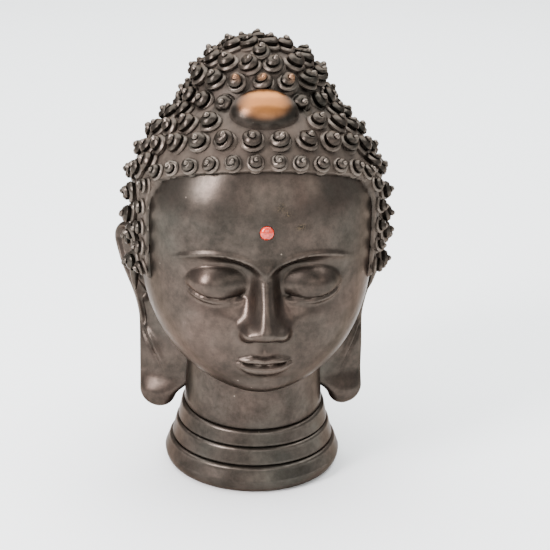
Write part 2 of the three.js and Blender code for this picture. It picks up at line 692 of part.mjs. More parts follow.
// Places along both flanks of the boss, which its curls touch.
function flankPlaces(middle) {
  const room = 0.9 * curlRadius;
  const places = [];
  for (let degrees = 15; degrees < 45; degrees++) {
    places.push(...ringOfPlaces(outsideSkull, middle, hair.lean, THREE.MathUtils.degToRad(degrees), 180, 0.5));
  }
  const near = places.filter((p) => {
    const away = inBoss(p);
    return Math.abs(bossReach(away, room) - 1) < 0.06 && away.z > -0.55 * boss.halfHeight && onOpenHair(p);
  });
  return near.sort((a, b) => Math.round(a.z) - Math.round(b.z) || b.x - a.x);
}

// Places of the skull's curls: a small row round the face, the boss's flanks, then rows round the pole.
function skullPlaces(crownTaken) {
  const margin = curlRadius * hair.hairlineShare;
  const hairline = windowPath(0.62 * margin, 0.86 * margin, 0.83 * curlPitch);
  const seats = [...hairline];
  const taken = [...seats, ...crownTaken];
  const middle = new THREE.Vector3(0, 0, skull.centreZ);
  take(seats, taken, flankPlaces(middle), 0.64 * curlPitch);
  hair.rowAngles.forEach((degrees, row) => {
    const angle = THREE.MathUtils.degToRad(degrees);
    const first = surfacePoint(outsideSkull, middle, aim(hair.lean, angle, Math.PI / 2));
    const count = Math.round((2 * Math.PI * Math.abs(first.x)) / curlPitch);
    const places = ringOfPlaces(outsideSkull, middle, hair.lean, angle, count, (row % 2) / 2);
    take(seats, taken, places.filter(onOpenHair), 0.72 * curlPitch);
  });
  fill(seats, taken, outsideSkull, middle, hair.lean, onOpenHair);
  return { hairline, seats };
}

// A curl's seat: its place, the way it points and its size.
function seatOf(outside, p, rise, lift, size) {
  const normal = outward(outside, p);
  const axis = normal.clone().addScaledVector(new THREE.Vector3(0, 0, 1), lift).normalize();
  return { at: p.clone().addScaledVector(normal, rise), axis, size };
}

function curlSeats() {
  const onCrown = crownPlaces();
  const { hairline, seats } = skullPlaces(onCrown);
  return {
    crown: onCrown.map((p) => seatOf(outsideCrown, p, 0, crown.lift, 1)),
    skull: seats.map((p, i) => {
      const size = i < hairline.length ? hair.hairlineShare : 1;
      return seatOf(outsideSkull, p, capThickness, hair.lift, size);
    }),
  };
}

// Stone: a domed glass cabochon in a shallow round socket between the brows
const stoneZ = browZ + 0.31 * faceThird;
const stoneSeat = onSkin(skullPoint(stoneZ, 0)).at;
const socketFloorY = stoneSeat.y + socketDepth;

function stoneGeometry() {
  const girdle = socketDepth - socketClearance;
  const steps = 4;
  const profile = [new THREE.Vector2(0, 0), new THREE.Vector2(stoneRadius, 0)];
  for (let i = 0; i <= steps; i++) {
    const turn = (i / steps) * (Math.PI / 2);
    profile.push(new THREE.Vector2(stoneRadius * Math.cos(turn), girdle + stoneDome * Math.sin(turn)));
  }
  profile.at(-1).x = 0;
  const geometry = new THREE.LatheGeometry(profile, 16);
  geometry.rotateX(Math.PI);
  return geometry;
}

// A geometry as a solid that can be joined and cut.
function solidOf(geometry) {
  const bare = geometry.index ? geometry.clone() : mergeVertices(geometry);
  bare.deleteAttribute("normal");
  bare.deleteAttribute("uv");
  const merged = mergeVertices(bare, 1e-4);
  const kept = [];
  const index = merged.index.array;
  for (let i = 0; i < index.length; i += 3) {
    const [a, b, c] = index.slice(i, i + 3);
    if (a !== b && b !== c && c !== a) kept.push(a, b, c);
  }
  return new wasm.Manifold(
    new wasm.Mesh({
      numProp: 3,
      vertProperties: merged.attributes.position.array,
      triVerts: new Uint32Array(kept),
    }),
  );
}

// A solid as a geometry that can be shown.
function geometryOf(solid) {
  const mesh = solid.getMesh();
  const geometry = new THREE.BufferGeometry();
  geometry.setAttribute("position", new THREE.BufferAttribute(new Float32Array(mesh.vertProperties), 3));
  geometry.setIndex(new THREE.BufferAttribute(new Uint32Array(mesh.triVerts), 1));
  geometry.computeVertexNormals();
  return geometry;
}

function castingGeometry() {
  const socketRadius = stoneRadius + socketClearance;
  const socket = new THREE.CylinderGeometry(socketRadius, socketRadius, 2 * socketDepth, 16);
  socket.translate(stoneSeat.x, socketFloorY - socketDepth, stoneZ);
  const seats = curlSeats();
  const forms = [crownGeometry(seats.crown), bossGeometry(), neckGeometry()];
  for (const side of [1, -1]) forms.push(earGeometry(side), tragusGeometry(side));
  let casting = solidOf(skullGeometry(seats.skull));
  for (const form of forms) casting = casting.add(solidOf(form));
  return geometryOf(casting.subtract(solidOf(socket)));
}

const bronze = new THREE.MeshStandardMaterial({ color: 0x55493f, roughness: 0.42, metalness: 0.8 });
const redGlass = new THREE.MeshStandardMaterial({ color: 0xd8402c, roughness: 0.08, metalness: 0 });

const group = new THREE.Group();

const casting = new THREE.Mesh(castingGeometry(), bronze);
casting.name = "head_casting";
group.add(casting);

const stone = new THREE.Mesh(stoneGeometry(), redGlass);
stone.name = "forehead_stone";
stone.position.set(stoneSeat.x, socketFloorY - socketClearance, stoneZ);
group.add(stone);

export default group;
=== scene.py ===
"""A cast bronze head with snail-shell curls and long ears, standing on its stepped neck in a pale studio."""

import math

import bpy
import numpy as np
from bpy.props import FloatProperty, FloatVectorProperty, PointerProperty
from mathutils import Matrix, Vector
from mathutils.bvhtree import BVHTree
from mathutils.kdtree import KDTree


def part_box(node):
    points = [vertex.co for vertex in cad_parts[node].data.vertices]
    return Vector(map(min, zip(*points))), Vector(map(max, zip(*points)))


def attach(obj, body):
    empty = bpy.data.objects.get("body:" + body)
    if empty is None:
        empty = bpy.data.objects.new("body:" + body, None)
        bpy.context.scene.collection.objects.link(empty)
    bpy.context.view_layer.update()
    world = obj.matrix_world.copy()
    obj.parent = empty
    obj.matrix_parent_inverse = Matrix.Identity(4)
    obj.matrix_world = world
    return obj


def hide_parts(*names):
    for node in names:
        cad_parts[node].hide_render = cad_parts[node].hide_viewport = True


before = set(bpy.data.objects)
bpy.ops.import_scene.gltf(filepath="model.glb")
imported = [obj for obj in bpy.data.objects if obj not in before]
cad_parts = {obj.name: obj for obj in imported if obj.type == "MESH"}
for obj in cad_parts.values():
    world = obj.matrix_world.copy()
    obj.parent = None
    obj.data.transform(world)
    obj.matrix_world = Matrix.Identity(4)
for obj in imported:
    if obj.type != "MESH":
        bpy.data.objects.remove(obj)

bl_info = {
    "name": "Cast bronze head",
    "version": (1, 0, 0),
    "blender": (4, 5, 0),
    "location": "3D View > Sidebar > Bronze",
    "description": "Builds a cast bronze head with snail-shell curls, its forehead stone and a studio",
    "category": "Object",
}

MILLIMETRE = 0.001
STONE_LOW, STONE_HIGH = (np.array(corner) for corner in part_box("forehead_stone"))

# The photograph's frame in pixels: its side, the camera's focal length and the place of the view's target
FRAME_SIDE = 550
FOCAL_LENGTH = 1264
TARGET_PIXEL = (255.5, 255)

# Length of the rays that look for a surface, longer than the head is, and how often it is halved
RAY_LENGTH = 0.4
HALVINGS = 34


def length(name, description, default, high=1.0):
    """A length in metres for a property group."""
    return FloatProperty(
        name=name, description=description, default=default, min=0.0, max=high,
        subtype="DISTANCE", unit="LENGTH",
    )


def view_angle(name, description, degrees):
    """An angle for a property group, given in degrees."""
    return FloatProperty(name=name, description=description, default=math.radians(degrees), subtype="ANGLE")


def colour(name, description, default):
    """A linear colour for a property group."""
    return FloatVectorProperty(
        name=name, description=description, default=default, size=3, min=0.0, max=1.0, subtype="COLOR"
    )


class HeadSizes(bpy.types.PropertyGroup):
    """Sizes of the head, from which its canon is worked out."""

    neck_height: length("Neck height", "From the underside to the point of the chin", 0.075)
    face_third: length("Face third", "Chin to nose, nose to brow and brow to hairline", 0.058)
    face_width: length("Face width", "Cheek to cheek, five eyes wide", 0.166)
    cap_thickness: length("Cap thickness", "How far the ground of the hair stands proud of the brow", 0.003)


class CurlSizes(bpy.types.PropertyGroup):
    """Sizes of the snail-shell curls."""

    pitch: length("Pitch", "From curl to curl along a row", 0.0178)
    radius: length("Radius", "Outer radius of a curl", 0.0086)
    height: length("Height", "From the ground of the hair to the tip of a curl", 0.0112)
    hairline_share: FloatProperty(name="Hairline share", description="Size of a hairline curl", default=0.75)


class NeckSizes(bpy.types.PropertyGroup):
    """Radii and heights of the neck's foot and bands."""

    rest_radius: length("Rest radius", "Radius of the flat underside", 0.061)
    rim_radius: length("Rim radius", "Widest radius of the foot", 0.068)
    rim_height: length("Rim height", "Height of the widest level", 0.010)
    throat_radius: length("Throat radius", "Radius of the plain neck above the bands", 0.050)
    back_rise: length("Back rise", "How much higher the top crease runs at the back", 0.009)


class StoneSizes(bpy.types.PropertyGroup):
    """Sizes of the forehead stone and its socket."""

    radius: length("Radius", "Radius of the stone", 0.0048)
    dome: length("Dome", "Height of the stone above the skin", 0.0026)
    socket_depth: length("Socket depth", "Depth of the socket at its middle", 0.002)
    clearance: length("Clearance", "Gap between the stone and its socket", 0.0003)


class FinishColours(bpy.types.PropertyGroup):
    """Colours of the patina and of the painted shade in its hollows, the dust, the rubbed copper and the
    stone.
    """

    patina: colour("Patina", "Dark brown patina of the skin", (0.09, 0.064, 0.052))
    # Also the colour of the painted shade in sheltered hollows, creases and round the feet of the curls
    deep_patina_and_shade: colour("Deep patina", "Greenish black patina in hollows", (0.011, 0.011, 0.009))
    grey: colour("Grey patina", "Broad grey-green clouds in the patina", (0.058, 0.057, 0.048))
    worn: colour("Worn edges", "Bare metal on edges and tips", (0.2, 0.168, 0.14))
    dust: colour("Dust", "Dusty ground between the curls", (0.08, 0.061, 0.047))
    copper: colour("Copper", "Rubbed metal of the boss", (0.34, 0.135, 0.04))
    scuff: colour("Scuff", "Scratched marks on the forehead", (0.085, 0.062, 0.036))
    stone: colour("Stone", "Red of the forehead stone", (0.56, 0.03, 0.01))


class StudioSettings(bpy.types.PropertyGroup):
    """Where the camera stands, and the height that it and the lights aim at."""

    distance: length("Distance", "From the middle of the head to the camera", 0.95, high=5.0)
    target_height: length("Target height", "Height of the point that the camera looks at", 0.165)
    pitch: view_angle("Pitch", "Camera's view downwards", 18)
    turn: view_angle("Turn", "Camera's place round the head", -4.9)
    roll: view_angle("Roll", "Camera's roll", 1.1)


# Numbers for whole arrays


def ramp(low, high, value):
    """0 below low and 1 above high, with the smooth step 3t^2 - 2t^3 between them."""
    t = np.clip((value - low) / (high - low), 0, 1)
    return t * t * (3 - 2 * t)


def bell(distance, width):
    """1 at no distance, falling as exp(-(distance / width)^2)."""
    return np.exp(-((distance / width) ** 2))


def soft_min(a, b, width):
    """The smaller of two values, rounded where they cross: -w log(exp(-a / w) + exp(-b / w))."""
    return -width * np.log(np.exp(-a / width) + np.exp(-b / width))


def unit(vectors):
    """Vectors scaled to length 1."""
    return vectors / np.maximum(np.linalg.norm(vectors, axis=-1, keepdims=True), 1e-12)


def steps(*stops):
    """Evenly divided steps between stops, given as value, count of steps to the next, and so on."""
    starts = range(0, len(stops) - 2, 2)
    values = [np.linspace(stops[i], stops[i + 2], stops[i + 1], endpoint=False) for i in starts]
    return np.concatenate([*values, [stops[-1]]])


def leave(outside, start, direction):
    """Points where rays from start leave a form, found by halving their length again and again."""
    near = np.zeros(direction.shape[:-1])
    far = np.full(direction.shape[:-1], RAY_LENGTH)
    for _ in range(HALVINGS):
        middle = (near + far) / 2
        inside = outside(start + direction * middle[..., None]) < 0
        near = np.where(inside, middle, near)
        far = np.where(inside, far, middle)
    return start + direction * near[..., None]


def slope(outside, points):
    """Slope of a form's own measure at points, from central differences along each axis."""
    reach = 0.2 * MILLIMETRE
    changes = [outside(points + reach * axis) - outside(points - reach * axis) for axis in np.eye(3)]
    return np.stack(changes, axis=-1) / (2 * reach)


def outward(outside, points):
    """Unit normals of a form at points."""
    return unit(slope(outside, points))


class HeadForm:
    """The plain skull, the crown and the carving of the face, from the canon of thirds and eyes."""

    window_half_angle = math.radians(62.5)
    corner_power = 11
    lean = math.radians(17)
    crown_flare = 0.35

    def __init__(self, sizes):
        self.third = sizes.face_third
        self.width = sizes.face_width
        self.eye = self.width / 5
        self.cap = sizes.cap_thickness
        self.chin_z = sizes.neck_height
        self.nose_z = self.chin_z + self.third
        self.brow_z = self.nose_z + self.third
        self.hairline_z = self.brow_z + self.third
        self.skull_z = self.hairline_z - 0.69 * self.third
        self.side = 0.527 * self.width
        self.front = 0.53 * self.width
        self.back = 0.555 * self.width
        self.rise = 0.53 * self.width
        self.middle = np.array([0, 0, (self.chin_z + self.hairline_z) / 2])
        self.crown_middle = np.array([0, 0.05 * self.width, self.skull_z + 0.47 * self.width])
        self.crown_radius = 0.288 * self.width
        self.crown_height = 0.215 * self.width
        self.window_dip = 0.46 * self.third
        self.window_foot = self.brow_z - 0.5 * self.third
        self.nape_z = self.nose_z - 0.3 * self.third

    def outside_skull(self, p):
        """Below 0 inside the egg |x/side|^2.2 + |y/depth|^2.2 = 1, whose side and depth shrink with level."""
        x, y, z = p[..., 0], p[..., 1], p[..., 2]
        fall = np.clip((self.skull_z - z) / (self.skull_z - self.chin_z), 0, 1)
        towards_back = (y + self.front) / (self.front + self.back)
        level = z - 0.55 * self.third * ramp(0.2, 1, fall) * towards_back
        up = np.clip((level - self.skull_z) / self.rise, 0, 1)
        down = np.clip((self.skull_z - level) / (self.skull_z - self.chin_z + 0.05 * self.third), 0, 1)
        above = level > self.skull_z
        side = np.where(above, (1 - up**2) ** (1 / 1.5), (1 - down**3) ** (1 / 2.4))
        front = np.where(above, (1 - up**2) ** (1 / 2), (1 - down**8) ** (1 / 3))
        back = np.where(above, (1 - up**2) ** (1 / 1.8), (1 - down**2.4) ** (1 / 2))
        depth = np.where(y < 0, self.front * front, self.back * back)
        across = np.abs(x) / np.maximum(self.side * side, 1e-9)
        along = np.abs(y) / np.maximum(depth, 1e-9)
        value = np.minimum(across, 50) ** 2.2 + np.minimum(along, 50) ** 2.2 - 1
        return np.where((up >= 1) | (down >= 1), 1.0, value)

    def outside_crown(self, p):
        """Below 0 inside the dome (across / radius)^1.7 + (up / height)^1.7 = 1, whose foot flares."""
        away = p - self.crown_middle
        up = away[..., 2] / self.crown_height
        radius = self.crown_radius * (1 + self.crown_flare * np.maximum(0, -up))
        across = np.hypot(away[..., 0], away[..., 1]) / radius
        return across**1.7 + np.abs(up) ** 1.7 - 1

    def hairline_at(self, angle):
        """Height of the hairline at an angle round from the front, lower towards the temples."""
        return self.hairline_z - self.window_dip * (1 - np.cos(angle))

    def hair_foot_at(self, angle):
        """Height of the hair's lower edge, from the sideburns to the nape."""
        share = ramp(1.3, 2.3, angle)
        return self.window_foot * (1 - share) + self.nape_z * share

    def hair_cover(self, p):
        """1 on the hair cap and 0 on the skin; the face is a window (angle)^11 + (up)^11 = 1 in the cap."""
        angle = np.abs(np.arctan2(p[..., 0], -p[..., 1]))
        up = np.maximum(0, (p[..., 2] - self.window_foot) / (self.hairline_at(angle) - self.window_foot))
        edge = (angle / self.window_half_angle) ** self.corner_power + up**self.corner_power
        foot = self.hair_foot_at(angle)
        return ramp(0.94, 1.06, edge) * ramp(foot - MILLIMETRE, foot + MILLIMETRE, p[..., 2])

    def face_relief(self, x, z):
        """Carving of the face in metres, from the distance to the middle and the height."""
        s = np.abs(x)
        brow = self.brow_relief(s, z) + self.eye_relief(s, z)
        return brow + self.nose_relief(s, z) + self.mouth_relief(s, z) + self.chin_relief(s, z)

    def brow_relief(self, s, z):
        """Arched brow edges over sockets that are deepest beside the nose."""
        third, eye = self.third, self.eye
        fall = np.where(s < eye, 0.2, 0.16) * third * ((s - eye) / eye) ** 2
        below = self.brow_z + 0.02 * third - fall - z
        depth = 0.035 * third + 0.1 * third * bell(s - 0.56 * eye, 0.42 * eye)
        socket = -depth * ramp(0, 0.13 * third, below) * (1 - ramp(0.42 * third, 0.8 * third, below))
        edge = 0.025 * third * bell(below, 0.035 * third) * ramp(0.15 * eye, 0.5 * eye, s)
        return (socket + edge) * (1 - ramp(1.5 * eye, 2.1 * eye, s))

    def eye_relief(self, s, z):
        """A lid dome h (1 - across^2 - up^2), cut by the curved line of the lashes."""
        third, eye = self.third, self.eye
        across = (s - 1.03 * eye) / (0.66 * eye)
        up = (z - (self.brow_z - 0.37 * third)) / (0.235 * third)
        lid = 0.15 * third * np.maximum(0, 1 - across**2 - up**2)
        lash_z = self.brow_z - 0.53 * third + 0.15 * third * ((s - 0.88 * eye) / (0.85 * eye)) ** 2
        above = z - lash_z
        along = ramp(0.42 * eye, 0.55 * eye, s) * (1 - ramp(1.5 * eye, 1.7 * eye, s))
        lash = -0.03 * third * bell(above, 0.022 * third) * along
        lower_lid = 0.02 * third * bell(above + 0.06 * third, 0.035 * third) * along
        return lid + lash + lower_lid

    def nose_relief(self, s, z):
        """A ridge reach * exp(-(s / half width)^p) that rises to a rounded tip, with a wing each side."""
        third, eye = self.third, self.eye
        root_z = self.nose_z + 0.98 * third
        tip_z = self.nose_z + 0.18 * third
        down = np.clip((root_z - z) / (root_z - tip_z), 0, 1.15)
        under = np.clip((tip_z - z) / (0.2 * third), 0, 1)
        ball = 0.325 * third * np.sqrt(1 - under**2)
        reach = np.maximum(0, soft_min(0.34 * third * down**1.1, ball, 0.03 * third))
        half_width = eye * (0.2 + 0.08 * down)
        ridge = reach * np.exp(-((s / half_width) ** (2.5 - 0.4 * down)))
        wing_height = bell(z - self.nose_z - 0.09 * third, 0.11 * third)
        wing = 0.15 * third * bell(s - 0.35 * eye, 0.17 * eye) * wing_height
        return ridge + wing

    def mouth_relief(self, s, z):
        """Closed lips with lifted corners on a soft mound, each lip an arch (4t(1 - t))^0.9 high."""
        third, eye = self.third, self.eye
        half_width = 0.7 * eye
        share = np.minimum(1, s / half_width)
        above = z - (self.nose_z - 0.335 * third + 0.05 * third * share**2)
        bow = 0.02 * third * bell(s - 0.2 * eye, 0.13 * eye) - 0.015 * third * bell(s, 0.1 * eye)
        upper = 0.115 * third * (1 - share**2.2) + bow * (1 - share**4)
        lower = 0.16 * third * (1 - share**2.6)
        room = np.maximum(np.where(above > 0, upper, lower), 1e-9)
        t = np.minimum(1, np.abs(above) / room)
        plump = 0.052 * third * (4 * t * (1 - t)) ** 0.9 * ramp(0, 0.6, 1 - share)
        crease = -0.016 * third * bell(above, 0.02 * third) * (1 - ramp(0.7, 1.05, s / half_width))
        mound = 0.07 * third * bell(s, 0.85 * eye) * bell(above, 0.3 * third)
        under_nose = ramp(0.1 * third, 0.2 * third, above) * ramp(0, 0.08 * third, self.nose_z - z)
        groove = -0.02 * third * bell(s, 0.07 * eye) * under_nose
        corner = -0.025 * third * bell(s - 0.83 * eye, 0.16 * eye) * bell(above - 0.05 * third, 0.09 * third)
        return plump + crease + mound + groove + corner

    def chin_relief(self, s, z):
        """A round chin under a soft hollow, and full cheeks, each a bell."""
        third, eye = self.third, self.eye
        hollow = -0.045 * third * bell(s, 0.5 * eye) * bell(z - self.nose_z + 0.56 * third, 0.07 * third)
        chin = 0.09 * third * bell(s, 0.55 * eye) * bell(z - self.chin_z - 0.22 * third, 0.2 * third)
        cheek_height = bell(z - self.nose_z - 0.02 * third, 0.4 * third)
        cheek = 0.04 * third * bell(s - 1.45 * eye, 0.6 * eye) * cheek_height
        return hollow + chin + cheek


# Grids of points and their faces


def ring_faces(rings, columns):
    """Quads of rings that close on themselves, outward when rings climb and columns turn anticlockwise."""
    ring, column = np.meshgrid(np.arange(rings - 1), np.arange(columns), indexing="ij")
    beside = (column + 1) % columns
    a = ring * columns + column
    b = ring * columns + beside
    return np.stack([a, b, b + columns, a + columns], axis=-1).reshape(-1, 4)


def closed_form(bottom, rings, top):
    """Points and faces of rings closed by a fan at each end."""
    count, columns = rings.shape[:2]
    points = np.concatenate([rings.reshape(-1, 3), [bottom, top]])
    column = np.arange(columns)
    beside = (column + 1) % columns
    low, high = count * columns, count * columns + 1
    last = (count - 1) * columns
    below = np.stack([beside, column, np.full(columns, low)], axis=-1)
    above = np.stack([last + column, last + beside, np.full(columns, high)], axis=-1)
    return points, [*ring_faces(count, columns).tolist(), *below.tolist(), *above.tolist()]


def mesh_object(name, points, faces, turned=False):
    """A new object in the scene whose mesh has these points and faces."""
    mesh = bpy.data.meshes.new(name)
    if turned:
        faces = [face[::-1] for face in faces]
    mesh.from_pydata(np.asarray(points, float).tolist(), [], faces)
    mesh.update()
    thing = bpy.data.objects.new(name, mesh)
    bpy.context.collection.objects.link(thing)
    return thing


def skull_rings(form):
    """Rings of the skull: rays from the axis at angle a, level above the mouth and tilted below it."""
    third = form.third
    tilts = np.radians(steps(-86, 9, -45, 10, -30, 36, -0.8))
    base_z = form.chin_z + 0.78 * third
    heights = steps(
        base_z, 76, form.brow_z + 0.22 * third, 14, form.hairline_z - 0.06 * third,
        12, form.hairline_z + 0.06 * third, 16, form.skull_z + 0.95 * form.rise,
    )
    half = np.radians(steps(0, 44, 38, 14, 61.3, 8, 63.7, 18, 180))
    angles = np.concatenate([-half[:0:-1], half[:-1]])
    round_ray = np.stack([np.sin(angles), -np.cos(angles), np.zeros_like(angles)], axis=-1)
    low_rays = round_ray * np.cos(tilts)[:, None, None] + np.array([0, 0, 1]) * np.sin(tilts)[:, None, None]
    low = leave(form.outside_skull, np.array([0, 0, base_z]), low_rays)
    dip = form.window_dip * (1 - np.cos(np.minimum(np.abs(angles), math.radians(75))))
    follow = ramp(form.brow_z + 0.1 * third, form.hairline_z - 0.1 * third, heights)
    follow = follow * (1 - ramp(form.hairline_z + 0.06 * third, form.skull_z + 0.95 * form.rise, heights))
    z = heights[:, None] - dip * follow[:, None]
    starts = np.stack([np.zeros_like(z), np.zeros_like(z), z], axis=-1)
    high = leave(form.outside_skull, starts, np.broadcast_to(round_ray, starts.shape))
    return np.concatenate([low, high])


def carve(form, base):
    """Points of the plain skull moved out: the face along the level ray, the cap along the normal."""
    cover = form.hair_cover(base)[..., None]
    relief = np.where(base[..., 1] < 0, form.face_relief(base[..., 0], base[..., 2]), 0)[..., None]
    level = unit(base * np.array([1, 1, 0]))
    ground = outward(form.outside_skull, base)
    return base + level * relief * (1 - cover) + ground * form.cap * cover


def skull_piece(form):
    """The skull with the face and the cap of hair."""
    base = skull_rings(form)
    ends = leave(form.outside_skull, form.middle, np.array([[0.0, 0, -1], [0, 0, 1]]))
    return mesh_object("skull", *closed_form(ends[0], carve(form, base), ends[1]))


def crown_piece(form):
    """The dome under the crown's curls, where rays at each rise and turn from its middle leave it."""
    rises = np.radians(steps(-60, 24, 80))
    turns = np.radians(steps(0, 64, 360))[:-1]
    rise, turn = np.meshgrid(rises, turns, indexing="ij")
    rays = np.stack([np.cos(rise) * np.sin(turn), -np.cos(rise) * np.cos(turn), np.sin(rise)], axis=-1)
    rings = leave(form.outside_crown, form.crown_middle, rays)
    ends = leave(form.outside_crown, form.crown_middle, np.array([[0.0, 0, -1], [0, 0, 1]]))
    return mesh_object("crown", *closed_form(ends[0], rings, ends[1]))


class Boss:
    """The smooth oval jewel at the front foot of the crown: an ellipsoid that faces forward and up."""

    def __init__(self, form):
        self.half_sizes = np.array([0.145, 0.085, 0.108]) * form.width
        angle = math.radians(57)
        ray = np.array([[0, -math.cos(angle), math.sin(angle)]])
        self.middle = leave(form.outside_skull, np.array([0, 0, form.skull_z]), ray)[0]
        facing = math.radians(42)
        self.to_own = np.array(Matrix.Rotation(facing, 3, "X"))
        self.clear_depth = 0.5 * form.third

    def own(self, points):
        """Points in the boss's own frame, where it is widest along x and thinnest along y."""
        return (points - self.middle) @ self.to_own.T

    def clear(self, points, room):
        """Whether points lie outside the boss and its room, as seen along its facing."""
        away = self.own(points)
        wide, _, tall = self.half_sizes + room
        across = np.hypot(away[..., 0] / wide, away[..., 2] / tall)
        return (across > 1) | (away[..., 1] > self.clear_depth)

    def piece(self):
        """The ellipsoid as rings of latitude."""
        rises = np.radians(steps(-84, 28, 84))
        turns = np.radians(steps(0, 56, 360))[:-1]
        rise, turn = np.meshgrid(rises, turns, indexing="ij")
        sphere = np.stack([np.cos(rise) * np.cos(turn), np.cos(rise) * np.sin(turn), np.sin(rise)], axis=-1)
        rings = (sphere * self.half_sizes) @ self.to_own + self.middle
        ends = (np.array([[0, 0, -1.0], [0, 0, 1]]) * self.half_sizes) @ self.to_own + self.middle
        return mesh_object("boss", *closed_form(ends[0], rings, ends[1]))


# Curls

# Least room between a seat and the boss, in shares of a curl's radius
BOSS_ROOM = 0.35
# Least gaps between seats along rows, in bare places and beside the boss, in shares of the pitch
ROW_GAP = 0.72
FILL_GAP = 0.7
FLANK_GAP = 0.64


def window_path(form, side_margin, top_margin, pitch):
    """Points a pitch apart along the edge of the face window, moved out by margins at its sides and top.

    At each turn from its top to its side the edge lies (sin^p + cos^p)^(-1/p) out.
    """
    turn = np.linspace(0, math.pi / 2, 801)
    power = form.corner_power
    reach = (np.sin(turn) ** power + np.cos(turn) ** power) ** (-1 / power)
    angle = (form.window_half_angle + side_margin / form.front) * np.sin(turn) * reach
    top = form.hairline_at(angle) + top_margin
    z = form.window_foot + (top - form.window_foot) * np.cos(turn) * reach
    starts = np.stack([0 * z, 0 * z, z], axis=-1)
    rays = np.stack([np.sin(angle), -np.cos(angle), 0 * z], axis=-1)
    points = leave(form.outside_skull, starts, rays)
    path = []
    for p in points:
        gap = np.linalg.norm(p - path[-1]) if path else 2 * p[0]
        if gap >= pitch:
            path.append(p)
    mirror = np.array([-1, 1, 1])
    return [side for p in path for side in (p, p * mirror)]


def aim(lean, angle, turn):
    """Directions at an angle from a pole that leans back, and a turn round it from the front."""
    out = np.sin(angle)
    flat = np.stack([out * np.sin(turn), -out * np.cos(turn), np.cos(angle) + 0 * turn], axis=-1)
    return flat @ np.array(Matrix.Rotation(-lean, 3, "X")).T


def ring_seats(outside, middle, lean, angle, count, shift):
    """Seats evenly spaced round a form at one angle from the pole, sorted from the front to the back."""
    place = (np.arange(count) + shift + count / 2) % count - count / 2
    place = place[np.argsort(np.abs(place), kind="stable")]
    return leave(outside, middle, aim(lean, angle, 2 * math.pi * place / count))


def open_crown(form, boss, curl, p):
    """Whether seats are on the open crown, clear of the boss and above the skull."""
    return boss.clear(p, BOSS_ROOM * curl.radius) & (form.outside_skull(p) > 0)


def open_hair(form, boss, curl, p):
    """Whether seats are on the cap, clear of the boss, the crown and the ears."""
    ear_top = form.brow_z - 0.12 * form.third
    low = p[..., 2] < ear_top + 0.3 * curl.radius
    by_ear = np.abs(p[..., 1] - 0.155 * form.width) < 0.15 * form.width
    clear = boss.clear(p, BOSS_ROOM * curl.radius) & (form.outside_crown(p) > 0.02)
    return (form.hair_cover(p) >= 1) & clear & ~(low & by_ear)


def add_seats(seats, taken, ring, good, gap):
    """Takes the good seats of a ring that keep their distance from all seats taken so far."""
    for seat in ring[good]:
        if not taken or np.linalg.norm(np.array(taken) - seat, axis=1).min() > gap:
            seats.append(seat)
            taken.append(seat)


def fill_seats(form, boss, curl, outside, middle, lean, is_open, seats, taken):
    """Puts curls wherever a bare place is left between the rows."""
    for degrees in range(12, 150, 3):
        ring = ring_seats(outside, middle, lean, math.radians(degrees), 90, 0.5)
        add_seats(seats, taken, ring, is_open(form, boss, curl, ring), FILL_GAP * curl.pitch)


def flank_seats(form, boss, curl, middle, seats, taken):
    """Seats along both flanks of the boss, which its curls touch."""
    ring = np.concatenate([
        ring_seats(form.outside_skull, middle, form.lean, math.radians(degrees), 180, 0.5)
        for degrees in range(15, 45)
    ])
    away = boss.own(ring)
    wide, _, tall = boss.half_sizes + 0.9 * curl.radius
    reach = np.hypot(away[:, 0] / wide, away[:, 2] / tall)
    near = (np.abs(reach - 1) < 0.06) & (away[:, 2] > -0.55 * boss.half_sizes[2])
    ring = ring[near & open_hair(form, boss, curl, ring)]
    ring = ring[np.lexsort((-ring[:, 0], np.round(ring[:, 2], 3)))]
    add_seats(seats, taken, ring, np.ones(len(ring), bool), FLANK_GAP * curl.pitch)


def crown_seats(form, boss, curl):
    """Seats and sizes of the crown's curls, in six rings."""
    seats = []
    taken = []
    for row, (degrees, count) in enumerate(((92, 17), (73, 15), (54, 12), (36, 9), (18, 5), (0, 1))):
        shift = (row + 1) % 2 / 2
        ring = ring_seats(form.outside_crown, form.crown_middle, 0, math.radians(degrees), count, shift)
        add_seats(seats, taken, ring, open_crown(form, boss, curl, ring), ROW_GAP * curl.pitch)
    fill_seats(form, boss, curl, form.outside_crown, form.crown_middle, 0, open_crown, seats, taken)
    return np.array(seats), np.ones(len(seats))


def skull_seats(form, boss, curl, crown):
    """Seats and sizes of the skull's curls: a small row round the face, then rows round the leaning pole."""
    share = curl.hairline_share
    hairline = window_path(form, 0.8 * curl.radius * share, 0.74 * curl.radius * share, 0.83 * curl.pitch)
    seats = list(hairline)
    middle = np.array([0, 0, form.skull_z])
    taken = [*seats, *crown]
    flank_seats(form, boss, curl, middle, seats, taken)
    for row, degrees in enumerate([20.5, 28.5, *(36.5 + 10.1 * step for step in range(11))]):
        angle = math.radians(degrees)
        side = leave(form.outside_skull, middle, aim(form.lean, angle, np.array([math.pi / 2])))[0]
        count = round(2 * math.pi * abs(side[0]) / curl.pitch)
        ring = ring_seats(form.outside_skull, middle, form.lean, angle, count, row % 2 / 2)
        add_seats(seats, taken, ring, open_hair(form, boss, curl, ring), ROW_GAP * curl.pitch)
    fill_seats(form, boss, curl, form.outside_skull, middle, form.lean, open_hair, seats, taken)
    sizes = np.where(np.arange(len(seats)) < len(hairline), share, 1.0)
    seats = np.array(seats)
    return seats + form.cap * outward(form.outside_skull, seats), sizes


